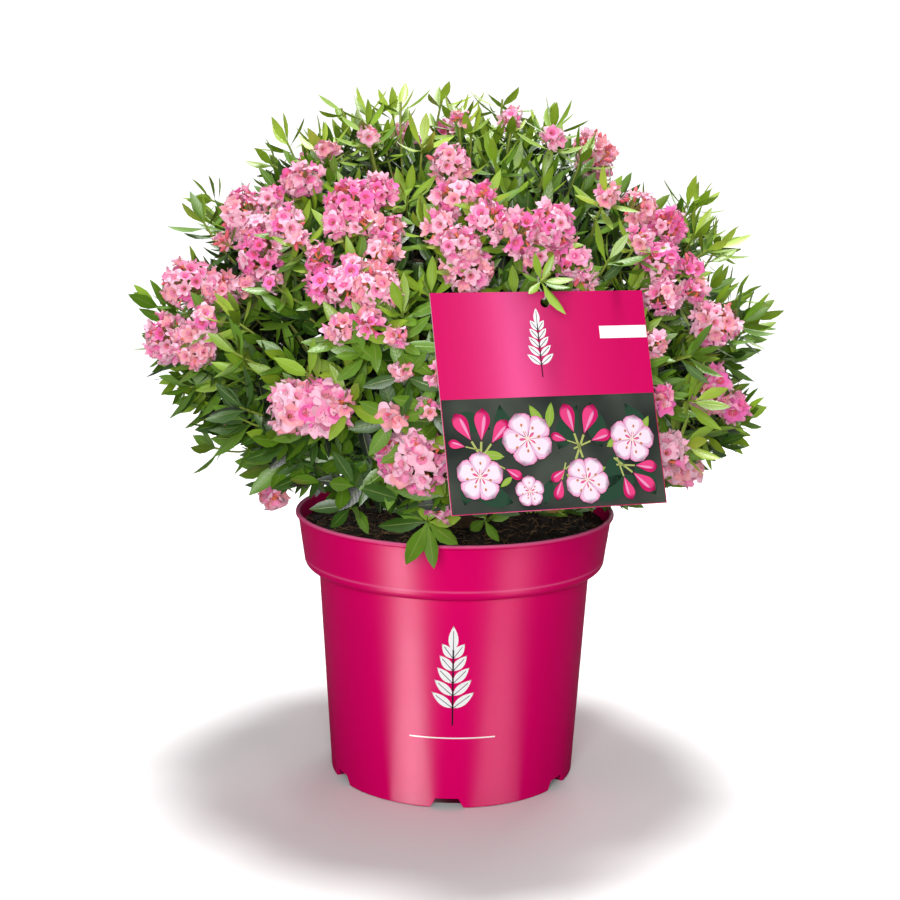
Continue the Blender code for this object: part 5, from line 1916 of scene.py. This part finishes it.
def make_label(settings):
    """The card, its two printed panels and a plain print of flowers and leaves."""
    label = Label()
    make_card(settings, label)
    half, foot = LABEL_WIDTH / 2, -LABEL_HEIGHT / 2
    flat_piece("label_panel", label,
               [rectangle(PRINT_EDGE - half, half - PRINT_EDGE, foot + PRINT_EDGE, PANEL_TOP)], 1,
               printed_card("lower panel", settings.panel_colour, cloud=tint(66, 72, 64)))
    bar = rectangle(BAR_LEFT * LABEL_WIDTH, half - PRINT_EDGE,
                    *(share * LABEL_HEIGHT for share in BAR_HEIGHT))
    leaves = [(x + LABEL_SPRIG[0], y + LABEL_SPRIG[1], *shape)
              for x, y, *shape in sprig_shapes(LABEL_SPRIG_HEIGHT)]
    flat_piece("label_white_print", label, [bar] + [flat_leaf(*leaf) for leaf in leaves], 1,
               printed_card("white print", tint(250, 250, 250)))
    stem = flat_strip(*((LABEL_SPRIG[0], rise) for rise in LABEL_STEM), 0.0007)
    flat_piece("label_dark_lines", label, sprig_veins(leaves, 0.0004) + [stem], 2,
               printed_card("dark lines", tint(44, 24, 38)))

    looks = print_looks()
    for layer, (key, colour) in enumerate(LABEL_INKS):
        shapes = [shape for shape in looks[key]
                  if all(abs(x) < half - PRINT_MARGIN and foot + PRINT_MARGIN < y < PRINT_TOP
                         for x, y in shape[0])]
        flat_piece(f"label_print_{key}", label, shapes, layer + 2,
                   printed_card(f"printed {key}", tint(*colour)))


def thread_route(label, count):
    """A closed loop that turns by a quarter between the hanger twig and the label's hole."""
    half_turn = pi * LOOP_RADIUS
    half = half_turn + LOOP_HEIGHT - 2 * LOOP_RADIUS
    points = []
    for number in range(count):
        # The upper half of the loop is the lower half, an arc and a straight, turned upside down
        upper, along = divmod(2 * half * number / count, half)
        angle = min(pi, along / LOOP_RADIUS)
        side = cos(angle)
        height = LOOP_RADIUS * (1 - sin(angle)) + max(0.0, along - half_turn)
        if upper:
            side, height = -side, LOOP_HEIGHT - height
        twist = between(0.0, 1.0, (height / LOOP_HEIGHT - LOOP_TWIST_START) / LOOP_TWIST_SHARE)
        facing = label.front.lerp(label.across, twist).normalized()
        points.append(label.loop_foot + label.up * height + facing * (side * LOOP_RADIUS))
    return points


def make_thread(settings):
    """The twisted thread loop that the label hangs by."""
    route = thread_route(Label(), THREAD_POINTS)
    strands = Gathering()
    for phase in (0.0, pi):
        points = []
        for number in range(len(route) + 1):
            ahead = route[(number + 1) % len(route)] - route[number - 1]
            offset = round_about(*side_axes(ahead.normalized()), phase + number * THREAD_TWIST)
            points.append(route[number % len(route)] + offset * THREAD_RADIUS * 0.45)
        add_tube(strands, points, [THREAD_RADIUS * 0.58] * len(points), 7)
    cotton = soft_parts_skin("label thread", settings.thread_colour, 0.7)
    add_piece("label_thread_loop", strands.mesh("label thread"), cotton,
              ["label_thread"])


# Stage

def add_light(name, lamp, place, target, power):
    """Put one light in its place and point it."""
    lamp.energy = power
    light = add_object(name, lamp)
    light.location = place
    light.rotation_euler = (Vector(target) - Vector(place)).to_track_quat("-Z", "Y").to_euler()
    light.visible_camera = False
    return light


def panel_light(name, place, target, width, height, power):
    """A soft rectangular light that points at a place."""
    lamp = bpy.data.lights.new(name, "AREA")
    lamp.shape = "RECTANGLE"
    lamp.size = width
    lamp.size_y = height
    return add_light(name, lamp, place, target, power)


def glint_card(name, turn, distance, band, width, power):
    """A narrow card by the pot, aimed at one upright band of it, that shows only as soft gloss."""
    place = heading(turn, 0.0) * distance
    aim = heading(band, 0.0) * BASE_RADIUS - place
    aim.z = aim.length * tan(radians(GLINT_TILT))
    place.z = GLINT_MIDDLE
    card = panel_light(name, place, place + aim, width, GLINT_HEIGHT, power)
    card.data.spread = radians(GLINT_SPREAD)
    card.visible_diffuse = False


def make_world():
    """A white room, brightest overhead and dim near the horizon."""
    world = bpy.data.worlds.new("studio")
    world.use_nodes = True
    bpy.context.scene.world = world
    tree = world.node_tree
    back = tree.nodes["Background"]
    coordinates = tree.nodes.new("ShaderNodeTexCoord")
    split = tree.nodes.new("ShaderNodeSeparateXYZ")
    tree.links.new(coordinates.outputs["Generated"], split.inputs[0])
    height = Wire(tree, split.outputs[2])
    seen = Wire(tree, tree.nodes.new("ShaderNodeLightPath").outputs["Is Camera Ray"])
    overhead = height.maths("MAXIMUM", height, 0.0)
    glow = WORLD_HORIZON + overhead * overhead * (WORLD_ZENITH - WORLD_HORIZON)
    feed(tree, back.inputs["Color"], (1.0, 1.0, 1.0))
    feed(tree, back.inputs["Strength"], glow + seen * (WORLD_SEEN - glow))


def make_stage(settings):
    """Pale floor, soft studio light and the camera."""
    make_world()
    mesh = bpy.data.meshes.new("floor")
    rim = circle(FLOOR_RADIUS, -FLOOR_DROP, FLOOR_STEPS)
    mesh.from_pydata(rim, [], [tuple(range(FLOOR_STEPS))])
    floor = add_object("floor", mesh)
    # The cards that the pot mirrors reach down through the floor, so that their gloss fades out
    # at the foot
    floor.visible_shadow = False
    paper = Finish("floor paper", roughness=0.9, specular_ior_level=0.05)
    bright = paper.blend(paper.speckle(3.0), shade(settings.floor_colour, 0.995),
                         settings.floor_colour)
    seen = paper.node("ShaderNodeLightPath")
    paper.set("Base Color", paper.blend(seen, shade(settings.floor_colour, BOUNCE), bright))
    mesh.materials.append(paper.material)

    sun = bpy.data.lights.new("key light", "SUN")
    sun.angle = radians(SUN_SPREAD)
    add_light("key light", sun, SUN_PLACE, (0.0, 0.0, 0.0), settings.key)
    panel_light("front light", (-0.12, -1.60, 0.55), (0.0, 0.0, 0.20), 0.7, 0.7, settings.front)
    panel_light("back light", (0.45, 1.50, 0.80), (0.0, 0.0, 0.28), 0.9, 0.9, settings.back)
    for name, turn, distance, band, width, share in GLINT_CARDS:
        glint_card(name, turn, distance, band, width, settings.glint * share)

    lens = bpy.data.cameras.new("camera")
    lens.sensor_width = SENSOR_WIDTH
    lens.lens = SENSOR_WIDTH * FOCAL_PIXELS / PICTURE_PIXELS
    lens.clip_end = 100.0
    camera = add_object("camera", lens)
    camera.matrix_world = (Matrix.Translation(CAMERA_PLACE)
                           @ Matrix.Rotation(radians(90 - CAMERA_PITCH), 4, "X")
                           @ Matrix.Rotation(radians(CAMERA_ROLL), 4, "Z"))
    bpy.context.scene.camera = camera
    bpy.context.scene.view_settings.view_transform = "Standard"


# Operators, panel and registration

class SHRUB_OT_pot(bpy.types.Operator):
    """Build the pot and the sprig printed on it"""

    bl_idname = "shrub.pot"
    bl_label = "Pot"

    def execute(self, context):
        make_pot(context.scene.shrub_pot)
        make_pot_print(context.scene.shrub_pot)
        return {"FINISHED"}


class SHRUB_OT_soil(bpy.types.Operator):
    """Fill the pot with potting soil"""

    bl_idname = "shrub.soil"
    bl_label = "Soil"

    def execute(self, context):
        make_soil(context.scene.shrub_pot)
        return {"FINISHED"}


class SHRUB_OT_trunk(bpy.types.Operator):
    """Build the trunk and its boughs in bark"""

    bl_idname = "shrub.trunk"
    bl_label = "Trunk and boughs"

    def execute(self, context):
        make_trunk_and_boughs(context.scene.shrub_crown)
        return {"FINISHED"}


class SHRUB_OT_twigs(bpy.types.Operator):
    """Grow the twigs"""

    bl_idname = "shrub.twigs"
    bl_label = "Twigs"

    def execute(self, context):
        make_twigs(context.scene.shrub_crown)
        return {"FINISHED"}


class SHRUB_OT_leaves(bpy.types.Operator):
    """Grow the leaves"""

    bl_idname = "shrub.leaves"
    bl_label = "Leaves"

    def execute(self, context):
        make_leaves(context.scene.shrub_crown)
        return {"FINISHED"}


class SHRUB_OT_flowers(bpy.types.Operator):
    """Grow the flower heads"""

    bl_idname = "shrub.flowers"
    bl_label = "Flower heads"

    def execute(self, context):
        make_flowers(context.scene.shrub_crown)
        return {"FINISHED"}


class SHRUB_OT_label(bpy.types.Operator):
    """Hang the label on its thread"""

    bl_idname = "shrub.label"
    bl_label = "Label and thread"

    def execute(self, context):
        make_label(context.scene.shrub_label)
        make_thread(context.scene.shrub_label)
        return {"FINISHED"}


class SHRUB_OT_stage(bpy.types.Operator):
    """Set up the floor, the lights and the camera"""

    bl_idname = "shrub.stage"
    bl_label = "Floor, light and camera"

    def execute(self, context):
        make_stage(context.scene.shrub_stage)
        return {"FINISHED"}


OPERATORS = (SHRUB_OT_stage, SHRUB_OT_pot, SHRUB_OT_soil, SHRUB_OT_trunk, SHRUB_OT_twigs,
             SHRUB_OT_leaves, SHRUB_OT_flowers, SHRUB_OT_label)


class SHRUB_PT_panel(bpy.types.Panel):
    """Sizes, colours and the buttons that build each group of pieces"""

    bl_idname = "SHRUB_PT_panel"
    bl_label = "Potted shrub"
    bl_space_type = "VIEW_3D"
    bl_region_type = "UI"
    bl_category = "Potted shrub"

    def draw(self, context):
        for group in GROUPS:
            box = self.layout.box()
            settings = getattr(context.scene, group)
            for key in GROUPS[group].__annotations__:
                box.prop(settings, key)
        for operator in OPERATORS:
            self.layout.operator(operator.bl_idname)


GROUPS = {"shrub_pot": PotSettings, "shrub_crown": CrownSettings, "shrub_label": LabelSettings,
          "shrub_stage": StageSettings}


def register():
    for group, settings in GROUPS.items():
        bpy.utils.register_class(settings)
        setattr(bpy.types.Scene, group, PointerProperty(type=settings))
    for operator in OPERATORS:
        bpy.utils.register_class(operator)
    bpy.utils.register_class(SHRUB_PT_panel)


def unregister():
    bpy.utils.unregister_class(SHRUB_PT_panel)
    for operator in reversed(OPERATORS):
        bpy.utils.unregister_class(operator)
    for group, settings in GROUPS.items():
        delattr(bpy.types.Scene, group)
        bpy.utils.unregister_class(settings)


def main():
    register()
    bpy.ops.shrub.stage()
    bpy.ops.shrub.pot()
    bpy.ops.shrub.soil()
    bpy.ops.shrub.trunk()
    bpy.ops.shrub.twigs()
    bpy.ops.shrub.leaves()
    bpy.ops.shrub.flowers()
    bpy.ops.shrub.label()


if __name__ == "__main__":
    main()
